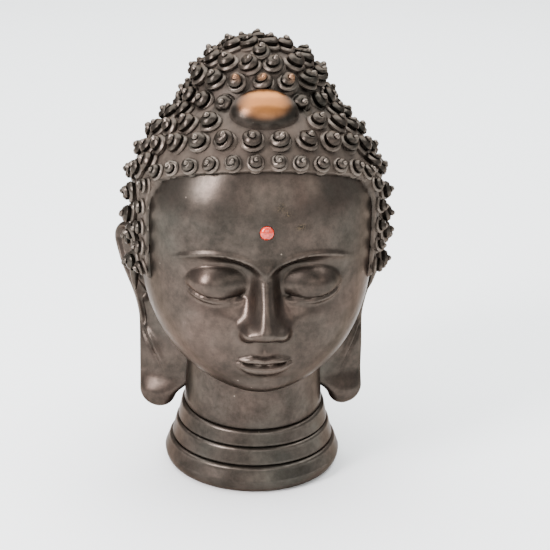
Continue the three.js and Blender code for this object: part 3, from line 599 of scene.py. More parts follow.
def coil(curl):
    """One snail shell on a helical grid: c turns along the coil, and rows that climb over its tube.

    The radius of the tube's middle, its height and its own radius follow the whole turns of the coil: a low
    ring, a full mound and a nub, in shares of the curl's radius. Each is held for half a turn and then moves
    on to the next by the smooth step. The last column of a row meets the first column four rows on.
    """
    columns, arc_rows = 14, 4
    rows = 4 * arc_rows - 1
    row, column = np.meshgrid(np.arange(rows + 1), np.arange(columns), indexing="ij")
    c = row // arc_rows + column / columns - 1
    held = np.floor(c) + ramp(0.45, 1, c - np.floor(c))
    turns = [-1, 0, 1, 2, 3]
    middle = curl.radius * np.interp(held, turns, [0.76, 0.76, 0.38, 0, 0])
    climb = curl.height * np.interp(held, turns, [-0.38, 0.11, 0.47, 0.8, 0.8])
    tube = curl.radius * np.interp(held, turns, [0.24, 0.25, 0.38, 0.27, 0.27])
    arc = np.radians(np.array([-45, 10, 58, 100]))[row % arc_rows]
    out = np.maximum(middle + tube * np.cos(arc), 0.03 * curl.radius)
    up = climb + tube * np.sin(arc)
    turn = 2 * math.pi * c
    shell = np.stack([out * np.cos(turn), out * np.sin(turn), up], axis=-1).reshape(-1, 3)
    index = row * columns + column
    inner = np.stack([index[:-1, :-1], index[:-1, 1:], index[1:, 1:], index[1:, :-1]], axis=-1).reshape(-1, 4)
    k = np.arange(rows - arc_rows)
    wrap = np.stack(
        [index[k, -1], index[k + arc_rows, 0], index[k + arc_rows + 1, 0], index[k + 1, -1]], axis=-1
    )
    bottom_loop = [*index[0], *index[arc_rows:0:-1, 0]]
    top_loop = [*index[-1], *index[-2 : -2 - arc_rows : -1, -1]]
    low, high = len(shell), len(shell) + 1
    below = [[bottom_loop[(i + 1) % len(bottom_loop)], bottom_loop[i], low] for i in range(len(bottom_loop))]
    above = [[top_loop[i], top_loop[(i + 1) % len(top_loop)], high] for i in range(len(top_loop))]
    ends = [[0, 0, up[0].min() - 0.02 * curl.height], [0, 0, up.max() + 0.005 * curl.height]]
    return np.concatenate([shell, ends]), [*inner.tolist(), *wrap.tolist(), *below, *above]


def apart(seats, sizes, radius):
    """Numbers that sort seats into groups whose own curls don't touch each other."""
    groups = []
    for i, seat in enumerate(seats):
        near = np.linalg.norm(seats[:i] - seat, axis=1) < 1.06 * radius * (sizes[:i] + sizes[i])
        used = {groups[j] for j in np.flatnonzero(near)}
        groups.append(min(set(range(len(used) + 1)) - used))
    return np.array(groups)


def curl_pieces(name, outside, seats, sizes, lift, curl, seed):
    """The coil carried to each seat, standing on the surface there; touching curls go to different meshes."""
    axes = outward(outside, seats)
    random = np.random.default_rng(seed)
    axes = unit(axes + random.normal(0, 0.05, axes.shape) + lift * np.array([0, 0, 1]))
    fitted = sizes * random.uniform(0.95, 1.04, len(seats))
    across = unit(np.cross([0, 0, 1], axes) + 1e-9)
    along = np.cross(axes, across)
    twist = random.uniform(0, 2 * math.pi, len(seats))[:, None]
    u = across * np.cos(twist) + along * np.sin(twist)
    v = np.cross(axes, u)
    shell, faces = coil(curl)
    local = shell[None] * fitted[:, None, None]
    points = (
        seats[:, None] + local[..., :1] * u[:, None]
        + local[..., 1:2] * v[:, None] + local[..., 2:] * axes[:, None]
    )
    groups = apart(seats, fitted, curl.radius)
    pieces = []
    for group in range(groups.max() + 1):
        own = points[groups == group]
        every = [[corner + k * len(shell) for corner in face] for k in range(len(own)) for face in faces]
        pieces.append(mesh_object(f"{name}_{group}", own.reshape(-1, 3), every))
    return pieces, np.column_stack([seats, axes, fitted])


# Neck and ears


def neck_piece(form, neck):
    """A lathe: foot with a rolled rim, three leaning bands, each rounded over into a crease above it.

    Each band has its top level, the radius of its shoulder and the radius of the crease, in millimetres.
    """
    mm = MILLIMETRE
    profile = [(neck.rest_radius, 0)]
    roll_width = neck.rim_radius - neck.rest_radius
    for a in np.radians(steps(12, 8, 90)):
        profile.append((neck.rest_radius + roll_width * math.sin(a), neck.rim_height * (1 - math.cos(a))))
    radius, floor = neck.rim_radius, neck.rim_height
    shoulder_drop = 2.6 * mm
    for top, shoulder, crease in ((20.5, 65, 61.9), (33.5, 59.7, 57.3), (45.5, 55.5, 52.8)):
        top, shoulder, crease = top * mm, shoulder * mm, crease * mm
        for t in np.linspace(0.15, 1, 6):
            profile.append((radius + (shoulder - radius) * t, floor + (top - shoulder_drop - floor) * t))
        for a in np.radians(steps(12, 7, 90)):
            bend = (shoulder - crease + 0.6 * mm) * (1 - math.cos(a))
            profile.append((shoulder - bend, top - shoulder_drop * (1 - math.sin(a))))
        profile.append((crease - 0.2 * mm, top + 0.5 * mm))
        profile.append((crease + 0.4 * mm, top + 1.4 * mm))
        radius, floor = crease + 0.4 * mm, top + 1.4 * mm
    neck_top = form.chin_z + 0.62 * form.third
    for t in np.linspace(0.08, 1, 12):
        bow = math.sin(t * math.pi / 2)
        profile.append((radius + (neck.throat_radius - radius) * bow, floor + (neck_top - floor) * t))
    turn = np.radians(steps(0, 100, 360))[:-1]
    radii, heights = np.array(profile).T[:, :, None]
    rings = np.stack([radii * np.sin(turn), -radii * np.cos(turn), heights + 0 * turn], axis=-1)
    behind = 0.5 + 0.5 * rings[..., 1] / np.maximum(radii, 1e-9)
    rings[..., 2] += neck.back_rise * behind * np.minimum(1, heights / top) ** 4
    return mesh_object("neck", *closed_form([0, 0, 0], rings, [0, 0, neck_top]))


def ear_relief(down, inset, top):
    """Carving of an ear's front in metres, from the share down it and the distances to its edge and top.

    With the border b the smooth least of both distances, the rim is a bell at b = 3 mm, the groove one at
    8.5 mm and the inner fold one at 14 mm. The hollow, the cleft and the long fold follow lines down the ear.
    """
    mm = MILLIMETRE
    border = soft_min(inset, top, 2.5 * mm)
    rim = 2.6 * mm * bell(border - 3 * mm, 2.6 * mm) * (1 - ramp(0.46, 0.64, down))
    groove = -3.4 * mm * bell(border - 8.5 * mm, 3.2 * mm) * (1 - ramp(0.36, 0.47, down))
    inner_fold = 1.6 * mm * bell(border - 14 * mm, 2.8 * mm) * (1 - ramp(0.28, 0.4, down))
    share = np.clip((down - 0.1) / 0.32, 0, 1)
    hollow_width = (11 - 6.5 * share) * mm
    hollow = -6 * mm * bell(inset - (27 - 15 * share) * mm, hollow_width)
    hollow = hollow * ramp(0.08, 0.17, down) * (1 - ramp(0.39, 0.44, down))
    cleft = -2.4 * mm * bell(inset - 6.5 * mm, 1.7 * mm) * ramp(0.4, 0.45, down) * (1 - ramp(0.5, 0.6, down))
    beside = inset - (4 + 18 * (down - 0.57) / 0.23) * mm
    fold = 1.7 * mm * bell(beside - 2.4 * mm, 2.6 * mm) - 2 * mm * bell(beside + 0.6 * mm, 1.5 * mm)
    fold = fold * ramp(0.54, 0.6, down) * (1 - ramp(0.72, 0.84, down))
    return rim + groove + inner_fold + hollow + cleft + fold


def ear_points(form, down, turn):
    """The right ear at a share down its length and a turn round its section.

    The section is a flat oval that turns from the side of the head to face forward at the lobe, and whose
    inner edge stays inside the head and then inside the neck, down to the free end of the lobe.
    """
    width = form.width
    ear_length = 2.52 * form.third
    outer_x = width * (0.525 + 0.113 * (0.5 + 0.5 * np.cos(math.pi * np.minimum(1, down / 0.55))))
    inner_x = width * (0.475 - 0.225 * ramp(0.2, 0.62, down) + 0.11 * ramp(0.8, 0.93, down))
    angle = np.radians(57 - 37 * ramp(0.2, 0.7, down))
    half = (outer_x - inner_x) / np.cos(angle) / 2
    thickness = width * (0.055 + 0.03 * ramp(0.3, 0.8, down))
    top_end = np.sqrt(1 - np.clip(1 - down / 0.13, 0, 1) ** 2)
    lobe_end = np.sqrt(1 - np.clip((down - 0.9) / 0.1, 0, 1) ** 2)
    end = top_end * lobe_end
    face = np.sin(turn)
    across = half * np.cos(turn) * end
    relief = ear_relief(down, half * end - across, ear_length * down) * np.sqrt(np.maximum(face, 0))
    out = (0.5 * thickness * np.sign(face) * np.abs(face) ** 0.8 + relief) * end
    middle_x = (outer_x + inner_x) / 2
    middle_y = 0.04 * width + 0.9 * half * np.sin(angle)
    x = middle_x + across * np.cos(angle) + out * np.sin(angle)
    y = middle_y + across * np.sin(angle) - out * np.cos(angle)
    z = form.brow_z - 0.12 * form.third - ear_length * down + 0 * turn
    return np.stack([x, y, z], axis=-1)


def ear_piece(form, side):
    """One long ear; the left one is the right one mirrored, with its faces turned."""
    downs = steps(0.002, 7, 0.05, 36, 0.6, 14, 0.84, 14, 0.998)
    turns = math.pi * np.concatenate([(np.arange(60) + 0.5) / 60, 1 + (np.arange(16) + 0.5) / 16])
    down, turn = np.meshgrid(downs, turns, indexing="ij")
    mirror = np.array([side, 1, 1])
    rings = ear_points(form, down, turn) * mirror
    ends = [ear_points(form, np.array(d), np.array(0.0)) * mirror for d in (0.0, 1.0)]
    return mesh_object(f"ear_{side}", *closed_form(ends[0], rings, ends[1]), turned=side < 0)


def tragus_piece(form, side):
    """The pointed tongue that hangs in front of the ear's hollow, as ovals along a bowed line."""
    third, width = form.third, form.width
    t = steps(0.02, 12, 0.5, 14, 0.99)[:, None]
    turn = np.radians(steps(0, 24, 360))[:-1]
    swell = np.sqrt(np.clip(1 - (1 - t / 0.3) ** 2, 0, 1) * (t < 0.3) + (t >= 0.3))
    girth = swell * (1 - np.clip(t, 0.3, 1) ** 2.2) ** 0.8
    x = width * (0.515 + 0.035 * ramp(0, 0.35, t) - 0.006 * t) + 0.024 * width * girth * np.cos(turn)
    y = width * (0.02 + 0.1 * t**1.5) - 0.028 * width * girth * np.sin(turn)
    z = form.brow_z - third * (0.45 + 0.6 * t) + 0 * turn
    rings = np.stack([x, y, z], axis=-1)
    ends = rings[[0, -1]].mean(axis=1) + np.array([[0, 0, 0.0005], [0, 0, -0.0005]])
    mirror = np.array([side, 1, 1])
    points, faces = closed_form(ends[0] * mirror, rings * mirror, ends[1] * mirror)
    return mesh_object(f"tragus_{side}", points, faces, turned=side < 0)


def socket_piece(stone):
    """The round socket of the stone as a closed drum along the forehead's facing."""
    radius = stone.radius + stone.clearance
    middle_z = (STONE_LOW[2] + STONE_HIGH[2]) / 2
    floor_y = STONE_HIGH[1] + stone.clearance
    turn = np.radians(steps(0, 48, 360))[:-1]
    ys = [floor_y, floor_y - 2 * stone.socket_depth]
    rings = np.array([[[radius * math.sin(a), y, middle_z + radius * math.cos(a)] for a in turn] for y in ys])
    return mesh_object("socket", *closed_form([0, ys[0], middle_z], rings, [0, ys[1], middle_z]), turned=True)


def join_solids(base, others, operation="UNION"):
    """Joins solids to the base one after another, or cuts them from it, and deletes them."""
    for other in others:
        cut = base.modifiers.new("join", "BOOLEAN")
        cut.operation = operation
        cut.solver = "MANIFOLD"
        cut.object = other
        depsgraph = bpy.context.evaluated_depsgraph_get()
        joined = bpy.data.meshes.new_from_object(base.evaluated_get(depsgraph))
        base.modifiers.clear()
        old = base.data
        base.data = joined
        bpy.data.meshes.remove(old)
        bpy.data.objects.remove(other, do_unlink=True)


# Surface masks, kept as point attributes of the casting

# Curvatures in 1/m: where wear starts, how much more wears an edge bare, and the bend that takes the painted
# shade off a convex place
WEAR_START = 110
WEAR_SPAN = 350
UNSHADED_BEND = 700


def smoothed(values, edges, rounds):
    """Values averaged over each vertex and its neighbours, several times."""
    a, b = edges.T
    share = np.bincount(edges.ravel(), minlength=len(values)) + 1
    for _ in range(rounds):
        around = np.bincount(a, values[b], len(values)) + np.bincount(b, values[a], len(values))
        values = (values + around) / share
    return values


def bend(points, normals, edges):
    """Curvature in 1/m, from 2 n.(p - q) / |p - q|^2 averaged over the neighbours q of each point p."""
    a, b = edges.T
    step = points[a] - points[b]
    square = np.maximum((step**2).sum(axis=1), (0.4 * MILLIMETRE) ** 2)
    at_a = 2 * (step * normals[a]).sum(axis=1) / square
    at_b = -2 * (step * normals[b]).sum(axis=1) / square
    total = np.bincount(a, at_a, len(points)) + np.bincount(b, at_b, len(points))
    return smoothed(total / np.maximum(np.bincount(edges.ravel(), minlength=len(points)), 1), edges, 2)


def shelter(mesh, points, normals, edges):
    """Share of the rays spread round each normal, along a spiral on a ball, that soon meet the surface."""
    count, reach = 9, 14 * MILLIMETRE
    tree = BVHTree.FromPolygons(points.tolist(), [face.vertices[:] for face in mesh.polygons])
    k = np.arange(count) + 0.5
    height = 1 - 2 * k / count
    flat = np.sqrt(1 - height**2)
    turn = math.pi * (1 + 5**0.5) * k
    ball = np.stack([flat * np.cos(turn), flat * np.sin(turn), height], axis=-1)
    met = np.zeros(len(points))
    starts = [Vector(p) for p in points + 0.3 * MILLIMETRE * normals]
    for spread in ball:
        rays = unit(normals + 0.98 * spread).tolist()
        met += [tree.ray_cast(start, ray, reach)[0] is not None for start, ray in zip(starts, rays)]
    return smoothed(met / count, edges, 2)


def above(outside, points):
    """Height of points over a form in metres: its measure divided by the slope of that measure."""
    return outside(points) / np.maximum(np.linalg.norm(slope(outside, points), axis=-1), 1e-6)


def nearest_curls(points, curls, curl):
    """For each point, its nearest curl and its height up that curl, or -1 where it is on none."""
    tree = KDTree(len(curls))
    for i, row in enumerate(curls):
        tree.insert(row[:3] + 0.4 * curl.height * row[3:6], i)
    tree.balance()
    nearest = np.array([tree.find(p)[1] for p in points.tolist()])
    own = curls[nearest]
    away = points - own[:, :3]
    up = (away * own[:, 3:6]).sum(axis=1)
    out = np.linalg.norm(away - up[:, None] * own[:, 3:6], axis=1)
    size = own[:, 6]
    on = (out < 1.06 * curl.radius * size) & (up > -0.06 * curl.height) & (up < 1.3 * curl.height)
    return nearest, np.where(on, up / (curl.height * size), -1)


def casting_masks(mesh, form, boss, curl, curls):
    """Masks from 0 to 1 for the material: hair, curl height, edge, hollow (painted shade), rubbed copper and
    scuffs.
    """
    count = len(mesh.vertices)
    points, normals = np.empty(3 * count), np.empty(3 * count)
    edges = np.empty(2 * len(mesh.edges), dtype=np.int32)
    mesh.vertices.foreach_get("co", points)
    mesh.vertices.foreach_get("normal", normals)
    mesh.edges.foreach_get("vertices", edges)
    points, normals, edges = points.reshape(-1, 3), normals.reshape(-1, 3), edges.reshape(-1, 2)
    bending = bend(points, normals, edges)
    nearest, rise = nearest_curls(points, curls, curl)
    ground = np.minimum(above(form.outside_skull, points) - form.cap, above(form.outside_crown, points))
    on_ground = (form.hair_cover(points) > 0.5) & (np.abs(ground) < 1.2 * MILLIMETRE)
    own = boss.own(points) / boss.half_sizes
    on_boss = np.abs(np.linalg.norm(own, axis=1) - 1) < 0.03
    polish = 1 - ramp(0.4, 1, np.hypot(own[:, 0] / 0.86, (own[:, 2] - 0.12) / 0.84))
    seat = boss.own(curls[:, :3]) / boss.half_sizes
    over_boss = (np.abs(seat) < [1, 3, 1.7]).all(axis=1) & (seat[:, 2] > 1)
    tips = 0.5 * over_boss[nearest] * ramp(0.7, 1, rise)
    # Painted shade: the share of rays that soon meet the surface, less on convex bends
    hollow = np.clip(0.8 * shelter(mesh, points, normals, edges) - bending / UNSHADED_BEND, 0, 1)
    return {
        "hair": smoothed(((rise >= 0) | on_ground) * 1.0, edges, 1),
        "rise": smoothed(np.maximum(rise, 0), edges, 1),
        "edge": np.clip((bending - WEAR_START) / WEAR_SPAN, 0, 1),
        # The boss outside its rubbed middle is darkened through the same mask, most at its lower rim
        "hollow": np.maximum(hollow, 0.7 * on_boss * (1 - polish)),
        "rub": np.maximum(on_boss * polish, tips),
        "scuff": scuff_mask(form, points),
    }


def scuff_mask(form, points):
    """Small worn marks on the forehead, to the right of the stone and above it, each a bell over an oval.

    A mark has its place to the right in mm and up in shares of a third, its width and height in mm, its tilt.
    """
    marks = ((9.1, 0.6, 2.6, 1.7, 0.4), (13.5, 0.54, 3.2, 1.5, -0.5), (23.5, 0.37, 3.6, 1.6, 0.2))
    mask = np.zeros(len(points))
    for x, share, wide, tall, tilt in marks:
        across = points[:, 0] / MILLIMETRE - x
        up = (points[:, 2] - form.brow_z - share * form.third) / MILLIMETRE
        u = across * math.cos(tilt) + up * math.sin(tilt)
        v = up * math.cos(tilt) - across * math.sin(tilt)
        mask = np.maximum(mask, bell(np.hypot(u / wide, v / tall), 1.0))
    return mask * (points[:, 1] < 0)


# Materials


class Net:
    """A node tree under construction."""

    def __init__(self, tree):
        self.tree = tree

    def fill(self, node, inputs):
        """Sets inputs of a node to values or joins them to sockets."""
        for name, value in inputs.items():
            if isinstance(value, bpy.types.NodeSocket):
                self.tree.links.new(value, node.inputs[name])
            else:
                node.inputs[name].default_value = value

    def add(self, kind, inputs, **settings):
        """A new node with its settings and inputs."""
        node = self.tree.nodes.new(kind)
        for name, value in settings.items():
            setattr(node, name, value)
        self.fill(node, inputs)
        return node

    def mask(self, name):
        """An attribute of the mesh."""
        return self.add("ShaderNodeAttribute", {}, attribute_name=name).outputs["Fac"]

    def math(self, operation, a, b):
        """The result of two values."""
        return self.add("ShaderNodeMath", {0: a, 1: b}, operation=operation).outputs[0]

    def span(self, value, low, high, first=0.0, last=1.0):
        """A value moved from one range to another and held at its ends."""
        return self.add("ShaderNodeMapRange", {0: value, 1: low, 2: high, 3: first, 4: last}).outputs[0]

    def blend(self, share, a, b):
        """A colour between two others."""
        return self.add("ShaderNodeMix", {0: share, 6: a, 7: b}, data_type="RGBA").outputs[2]

    def noise(self, place, scale, detail=4.0):
        """Noise from 0 to 1 that follows a place."""
        return self.add("ShaderNodeTexNoise", {"Vector": place, "Scale": scale, "Detail": detail}).outputs[0]


def node_group(name, inputs, outputs):
    """A new shader node group with named inputs and outputs, its net and its group input's sockets."""
    tree = bpy.data.node_groups.new(name, "ShaderNodeTree")
    for socket, kind, default in inputs:
        tree.interface.new_socket(socket, in_out="INPUT", socket_type=kind).default_value = default
    for socket, kind in outputs:
        tree.interface.new_socket(socket, in_out="OUTPUT", socket_type=kind)
    net = Net(tree)
    return tree, net, net.add("NodeGroupInput", {}).outputs


def blotch_group():
    """Soft blotches from 0 to 1: large noise mixed with noise four times finer."""
    scale = ("Scale", "NodeSocketFloat", 20.0)
    tree, net, given = node_group("blotches", [scale], [("Mask", "NodeSocketFloat")])
    place = net.add("ShaderNodeTexCoord", {}).outputs["Object"]
    large = net.noise(place, given["Scale"])
    fine = net.noise(place, net.math("MULTIPLY", given["Scale"], 4.3))
    both = net.math("ADD", net.math("MULTIPLY", large, 0.65), net.math("MULTIPLY", fine, 0.35))
    net.add("NodeGroupOutput", {"Mask": net.span(both, 0.38, 0.64)})
    return tree


def speck_group():
    """Light specks of dust: spots of 0.5 mm in a share of 9 mm cells."""
    share = ("Share", "NodeSocketFloat", 0.1)
    tree, net, given = node_group("specks", [share], [("Mask", "NodeSocketFloat")])
    place = net.add("ShaderNodeTexCoord", {}).outputs["Object"]
    cells = net.add("ShaderNodeTexVoronoi", {"Vector": place, "Scale": 110.0})
    chance = net.add("ShaderNodeSeparateColor", {"Color": cells.outputs["Color"]}).outputs[0]
    spot = net.span(cells.outputs["Distance"], 0.04, 0.075, 1.0, 0.0)
    chosen = net.math("LESS_THAN", chance, given["Share"])
    net.add("NodeGroupOutput", {"Mask": net.math("MULTIPLY", spot, chosen)})
    return tree


def grain_group():
    """The cast skin: low swells, fine grain and scattered pits, as a bent normal."""
    depth = ("Depth", "NodeSocketFloat", 0.0003)
    tree, net, given = node_group("cast_grain", [depth], [("Normal", "NodeSocketVector")])
    place = net.add("ShaderNodeTexCoord", {}).outputs["Object"]
    swell = net.noise(place, 60.0, 2.0)
    grain = net.math("MULTIPLY", net.noise(place, 700.0, 3.0), 0.22)
    cells = net.add("ShaderNodeTexVoronoi", {"Vector": place, "Scale": 260.0}).outputs["Distance"]
    pits = net.math("MULTIPLY", net.span(cells, 0.0, 0.22), 0.12)
    height = net.math("ADD", net.math("ADD", swell, grain), pits)
    bump = net.add("ShaderNodeBump", {"Strength": 0.6, "Distance": given["Depth"], "Height": height})
    net.add("NodeGroupOutput", {"Normal": bump.outputs["Normal"]})
    return tree


def use_group(net, tree, inputs):
    """A node that uses a node group."""
    node = net.add("ShaderNodeGroup", {}, node_tree=tree)
    net.fill(node, inputs)
    return node


def new_material(name):
    """A material, its net and its own shader."""
    material = bpy.data.materials.new(name)
    material.use_nodes = True
    return material, Net(material.node_tree), material.node_tree.nodes["Principled BSDF"]


def bronze_material(colours):
    """Dark bronze: blotched patina, painted shade in sheltered hollows, dust in the hair, worn edges, and
    copper rubbed bare on the boss.
    """
    material, net, shader = new_material("patinated_bronze")
    patina, deep, grey, worn, dust, copper, scuffed = (
        (*colour, 1) for colour in (
            colours.patina, colours.deep_patina_and_shade, colours.grey, colours.worn,
            colours.dust, colours.copper, colours.scuff,
        )
    )
    hair, rise, edge, hollow, rub, scuff = (
        net.mask(name) for name in ("hair", "rise", "edge", "hollow", "rub", "scuff")
    )
    blotches = blotch_group()
    clouds, broad, small, fine = (
        use_group(net, blotches, {"Scale": scale}).outputs[0] for scale in (9.0, 14.0, 75.0, 210.0)
    )
    mottled = net.math("ADD", net.math("MULTIPLY", broad, 0.45), net.math("MULTIPLY", small, 0.33))
    mottled = net.span(net.math("ADD", mottled, net.math("MULTIPLY", fine, 0.22)), 0, 1, 0.12, 1)
    skin = net.blend(mottled, deep, net.blend(net.math("MULTIPLY", clouds, 0.8), patina, grey))
    dusty = net.math("MULTIPLY", hair, net.span(rise, 0.03, 0.26, 1.0, 0.0))
    dusty = net.math("MULTIPLY", dusty, net.span(small, 0.0, 1.0, 0.55, 1.0))
    # Painted shade: hollows darkened towards the deep patina colour, less on the dusty ground
    painted_shade = net.math("MULTIPLY", net.span(hollow, 0.2, 0.85), net.span(dusty, 0.0, 1.0, 0.75, 0.4))
    base = net.blend(painted_shade, skin, deep)
    shaded = net.math("MULTIPLY", net.span(rise, 0.05, 0.3), net.span(edge, 0.0, 0.5, 0.5, 0.0))
    base = net.blend(shaded, base, deep)
    # Dust thins out where the painted shade is deep
    base = net.blend(net.math("MULTIPLY", dusty, net.span(hollow, 0.1, 0.7, 0.9, 0.35)), base, dust)
    base = net.blend(net.math("MULTIPLY", edge, net.span(small, 0.1, 0.9, 0.35, 0.8)), base, worn)
    scratches = net.noise(net.add("ShaderNodeTexCoord", {}).outputs["Object"], 900.0, 2.0)
    scratched = net.blend(net.span(scratches, 0.45, 0.6), deep, scuffed)
    base = net.blend(net.math("MULTIPLY", scuff, 0.8), base, scratched)
    specks = use_group(net, speck_group(), {"Share": 0.12}).outputs[0]
    base = net.blend(net.math("MULTIPLY", specks, net.span(hair, 0.0, 1.0, 0.8, 0.0)), base, worn)
    rough = net.math("ADD", net.span(dusty, 0, 1, 0.26, 0.8), net.span(mottled, 0.3, 1, 0.1, 0.0))
    net.fill(shader, {
        "Base Color": net.blend(rub, base, copper),
        "Metallic": net.span(dusty, 0, 1, 0.88, 0.15),
        "Roughness": net.math("ADD", rough, net.math("MULTIPLY", scuff, 0.25)),
        "Normal": use_group(net, grain_group(), {"Depth": 0.0003}).outputs[0],
        "Specular Tint": (0.55, 0.49, 0.455, 1),
    })
    return material


def stone_material(colours):
    """Red glass with a glossy coat and a darker, cloudy middle."""
    material, net, shader = new_material("red_glass")
    place = net.add("ShaderNodeTexCoord", {}).outputs["Object"]
    cloud = net.span(net.noise(place, 420.0), 0.35, 0.65)
    red = (*colours.stone, 1)
    dark = (*(0.45 * channel for channel in colours.stone), 1)
    net.fill(shader, {
        "Base Color": net.blend(cloud, dark, red),
        "Roughness": 0.2,
        "Coat Weight": 0.5,
        "Coat Roughness": 0.04,
    })
    return material


# Studio


def studio_camera(studio, target):
    """The camera of the photograph's view: its distance, tilt, turn and roll about a target."""
    pitch, turn = studio.pitch, studio.turn
    away = Vector((math.sin(turn) * math.cos(pitch), -math.cos(turn) * math.cos(pitch), math.sin(pitch)))
    data = bpy.data.cameras.new("camera")
    data.sensor_fit = "VERTICAL"
    data.angle = 2 * math.atan(FRAME_SIDE / 2 / FOCAL_LENGTH)
    data.shift_x = (FRAME_SIDE / 2 - TARGET_PIXEL[0]) / FRAME_SIDE
    data.shift_y = (TARGET_PIXEL[1] - FRAME_SIDE / 2) / FRAME_SIDE
    camera = bpy.data.objects.new("camera", data)
    facing = (-away).to_track_quat("-Z", "Y").to_matrix().to_4x4()
    place = Matrix.Translation(target + studio.distance * away)
    camera.matrix_world = place @ facing @ Matrix.Rotation(studio.roll, 4, "Z")
    bpy.context.collection.objects.link(camera)
    return camera


def soft_light(name, place, aim_at, power, size, tone):
    """A soft rectangular light that stands at a place and shines at a point."""
    data = bpy.data.lights.new(name, "AREA")
    data.energy = power
    data.shape = "RECTANGLE"
    data.size, data.size_y = size
    data.color = tone
    lamp = bpy.data.objects.new(name, data)
    lamp.location = place
    lamp.rotation_euler = (aim_at - place).to_track_quat("-Z", "Y").to_euler()
    bpy.context.collection.objects.link(lamp)


class BRONZE_OT_head(bpy.types.Operator):
    """Build the casting: skull, face, crown, boss, ears, neck and curls joined into one piece"""

    bl_idname = "bronze.head"
    bl_label = "Cast head"

    def execute(self, context):
        scene = context.scene
        form = HeadForm(scene.head_sizes)
        boss = Boss(form)
        curl = scene.curl_sizes
        head = skull_piece(form)
        parts = [crown_piece(form), boss.piece(), neck_piece(form, scene.neck_sizes)]
        for side in (1, -1):
            parts.extend([ear_piece(form, side), tragus_piece(form, side)])
        crown_places = crown_seats(form, boss, curl)
        skull_places = skull_seats(form, boss, curl, crown_places[0])
        on_skull = curl_pieces("skull_curls", form.outside_skull, *skull_places, 0.06, curl, 5)
        on_crown = curl_pieces("crown_curls", form.outside_crown, *crown_places, 0.3, curl, 8)
        join_solids(head, [*parts, *on_skull[0], *on_crown[0]])
        join_solids(head, [socket_piece(scene.stone_sizes)], "DIFFERENCE")
        head.name = head.data.name = "cast_head"
        head.data.materials.clear()
        head.data.materials.append(bronze_material(scene.finish_colours))
        curls = np.concatenate([on_skull[1], on_crown[1]])
        for name, values in casting_masks(head.data, form, boss, curl, curls).items():
            mask = head.data.attributes.new(name, "FLOAT", "POINT")
            mask.data.foreach_set("value", values.astype(np.float32))
        head.data.shade_smooth()
        head.data.set_sharp_from_angle(angle=math.radians(50))
        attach(head, "root")
        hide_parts("head_casting")
        return {"FINISHED"}


class BRONZE_OT_stone(bpy.types.Operator):
    """Build the domed red stone in its socket"""

    bl_idname = "bronze.stone"
    bl_label = "Forehead stone"

    def execute(self, context):
        stone = context.scene.stone_sizes
        middle_z = (STONE_LOW[2] + STONE_HIGH[2]) / 2
        back_y = STONE_HIGH[1]
        girdle = stone.socket_depth - stone.clearance
        turn = np.radians(steps(0, 64, 360))[:-1]
        rise = np.radians(steps(0, 18, 86))
        # A straight girdle, then rings of a dome, radius * cos(rise) wide and dome * sin(rise) high
        radii = stone.radius * np.concatenate([[1.0], np.cos(rise)])[:, None]
        depths = np.concatenate([[0.0], girdle + stone.dome * np.sin(rise)])[:, None]
        x, z = radii * np.sin(turn), middle_z + radii * np.cos(turn)
        rings = np.stack([x, back_y - depths + 0 * turn, z], axis=-1)
        ends = [[0, back_y, middle_z], [0, back_y - girdle - stone.dome, middle_z]]
        gem = mesh_object("stone", *closed_form(ends[0], rings, ends[1]), turned=True)
        gem.data.shade_smooth()
        gem.data.set_sharp_from_angle(angle=math.radians(50))
        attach(gem, "root")
        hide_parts("forehead_stone")
        gem.data.materials.append(stone_material(context.scene.finish_colours))
        return {"FINISHED"}


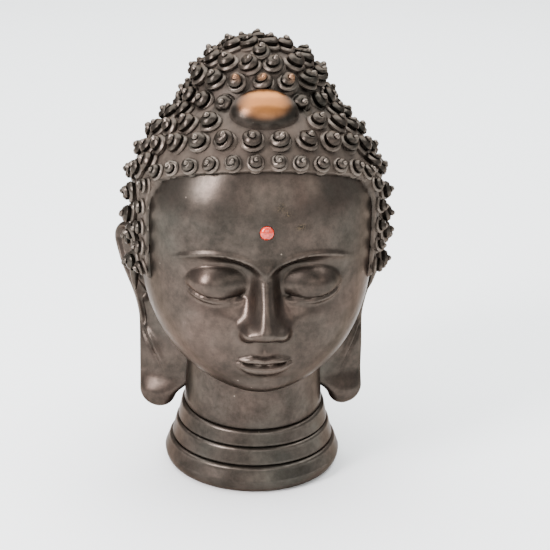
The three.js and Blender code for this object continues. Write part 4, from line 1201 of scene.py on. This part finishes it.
class BRONZE_OT_studio(bpy.types.Operator):
    """Build the pale floor, the soft lights and the camera"""

    bl_idname = "bronze.studio"
    bl_label = "Studio"

    def execute(self, context):
        scene = context.scene
        floor = mesh_object("floor", [(-12, -6, 0), (12, -6, 0), (12, 18, 0), (-12, 18, 0)], [[0, 1, 2, 3]])
        material, net, shader = new_material("pale_floor")
        net.fill(shader, {"Base Color": (0.93, 0.95, 0.95, 1), "Roughness": 0.7})
        floor.data.materials.append(material)
        target = Vector((0, 0, scene.studio_settings.target_height))
        scene.camera = studio_camera(scene.studio_settings, target)
        for name, place, aim_at, power, wide, tall, tone in (
            ("window", (-1.15, -0.85, 0.95), target, 54, 0.42, 0.9, (1.0, 0.94, 0.96)),
            ("fill", (1.0, -1.1, 0.9), target, 3, 0.6, 0.6, (1.0, 0.93, 0.88)),
            ("front", (0.15, -2.1, 0.85), target, 19, 1.5, 1.1, (1.0, 0.95, 0.93)),
            ("ceiling", (0.2, 1.6, 3.0), (0.2, 1.6, 0), 470, 5.0, 5.0, (0.97, 0.99, 1.0)),
        ):
            soft_light(name, Vector(place), Vector(aim_at), power, (wide, tall), tone)
        world = bpy.data.worlds.new("studio")
        world.use_nodes = True
        world.node_tree.nodes["Background"].inputs[0].default_value = (0.95, 0.97, 1.0, 1)
        world.node_tree.nodes["Background"].inputs[1].default_value = 0.85
        scene.world = world
        return {"FINISHED"}


class BRONZE_PT_panel(bpy.types.Panel):
    """Lists the pieces to build"""

    bl_label = "Bronze head"
    bl_idname = "BRONZE_PT_panel"
    bl_space_type = "VIEW_3D"
    bl_region_type = "UI"
    bl_category = "Bronze"

    def draw(self, context):
        for operator in OPERATORS:
            self.layout.operator(operator.bl_idname)


GROUPS = {
    "head_sizes": HeadSizes,
    "curl_sizes": CurlSizes,
    "neck_sizes": NeckSizes,
    "stone_sizes": StoneSizes,
    "finish_colours": FinishColours,
    "studio_settings": StudioSettings,
}
OPERATORS = (BRONZE_OT_head, BRONZE_OT_stone, BRONZE_OT_studio)


def register():
    """Registers the property groups, the operators and the panel."""
    for name, group in GROUPS.items():
        bpy.utils.register_class(group)
        setattr(bpy.types.Scene, name, PointerProperty(type=group))
    for cls in (*OPERATORS, BRONZE_PT_panel):
        bpy.utils.register_class(cls)


def unregister():
    """Takes them off again, the last one first."""
    for cls in (BRONZE_PT_panel, *reversed(OPERATORS)):
        bpy.utils.unregister_class(cls)
    for name, group in reversed(GROUPS.items()):
        delattr(bpy.types.Scene, name)
        bpy.utils.unregister_class(group)


def main():
    """Builds the whole scene."""
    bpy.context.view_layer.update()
    register()
    bpy.ops.bronze.head()
    bpy.ops.bronze.stone()
    bpy.ops.bronze.studio()


if __name__ == "__main__":
    main()
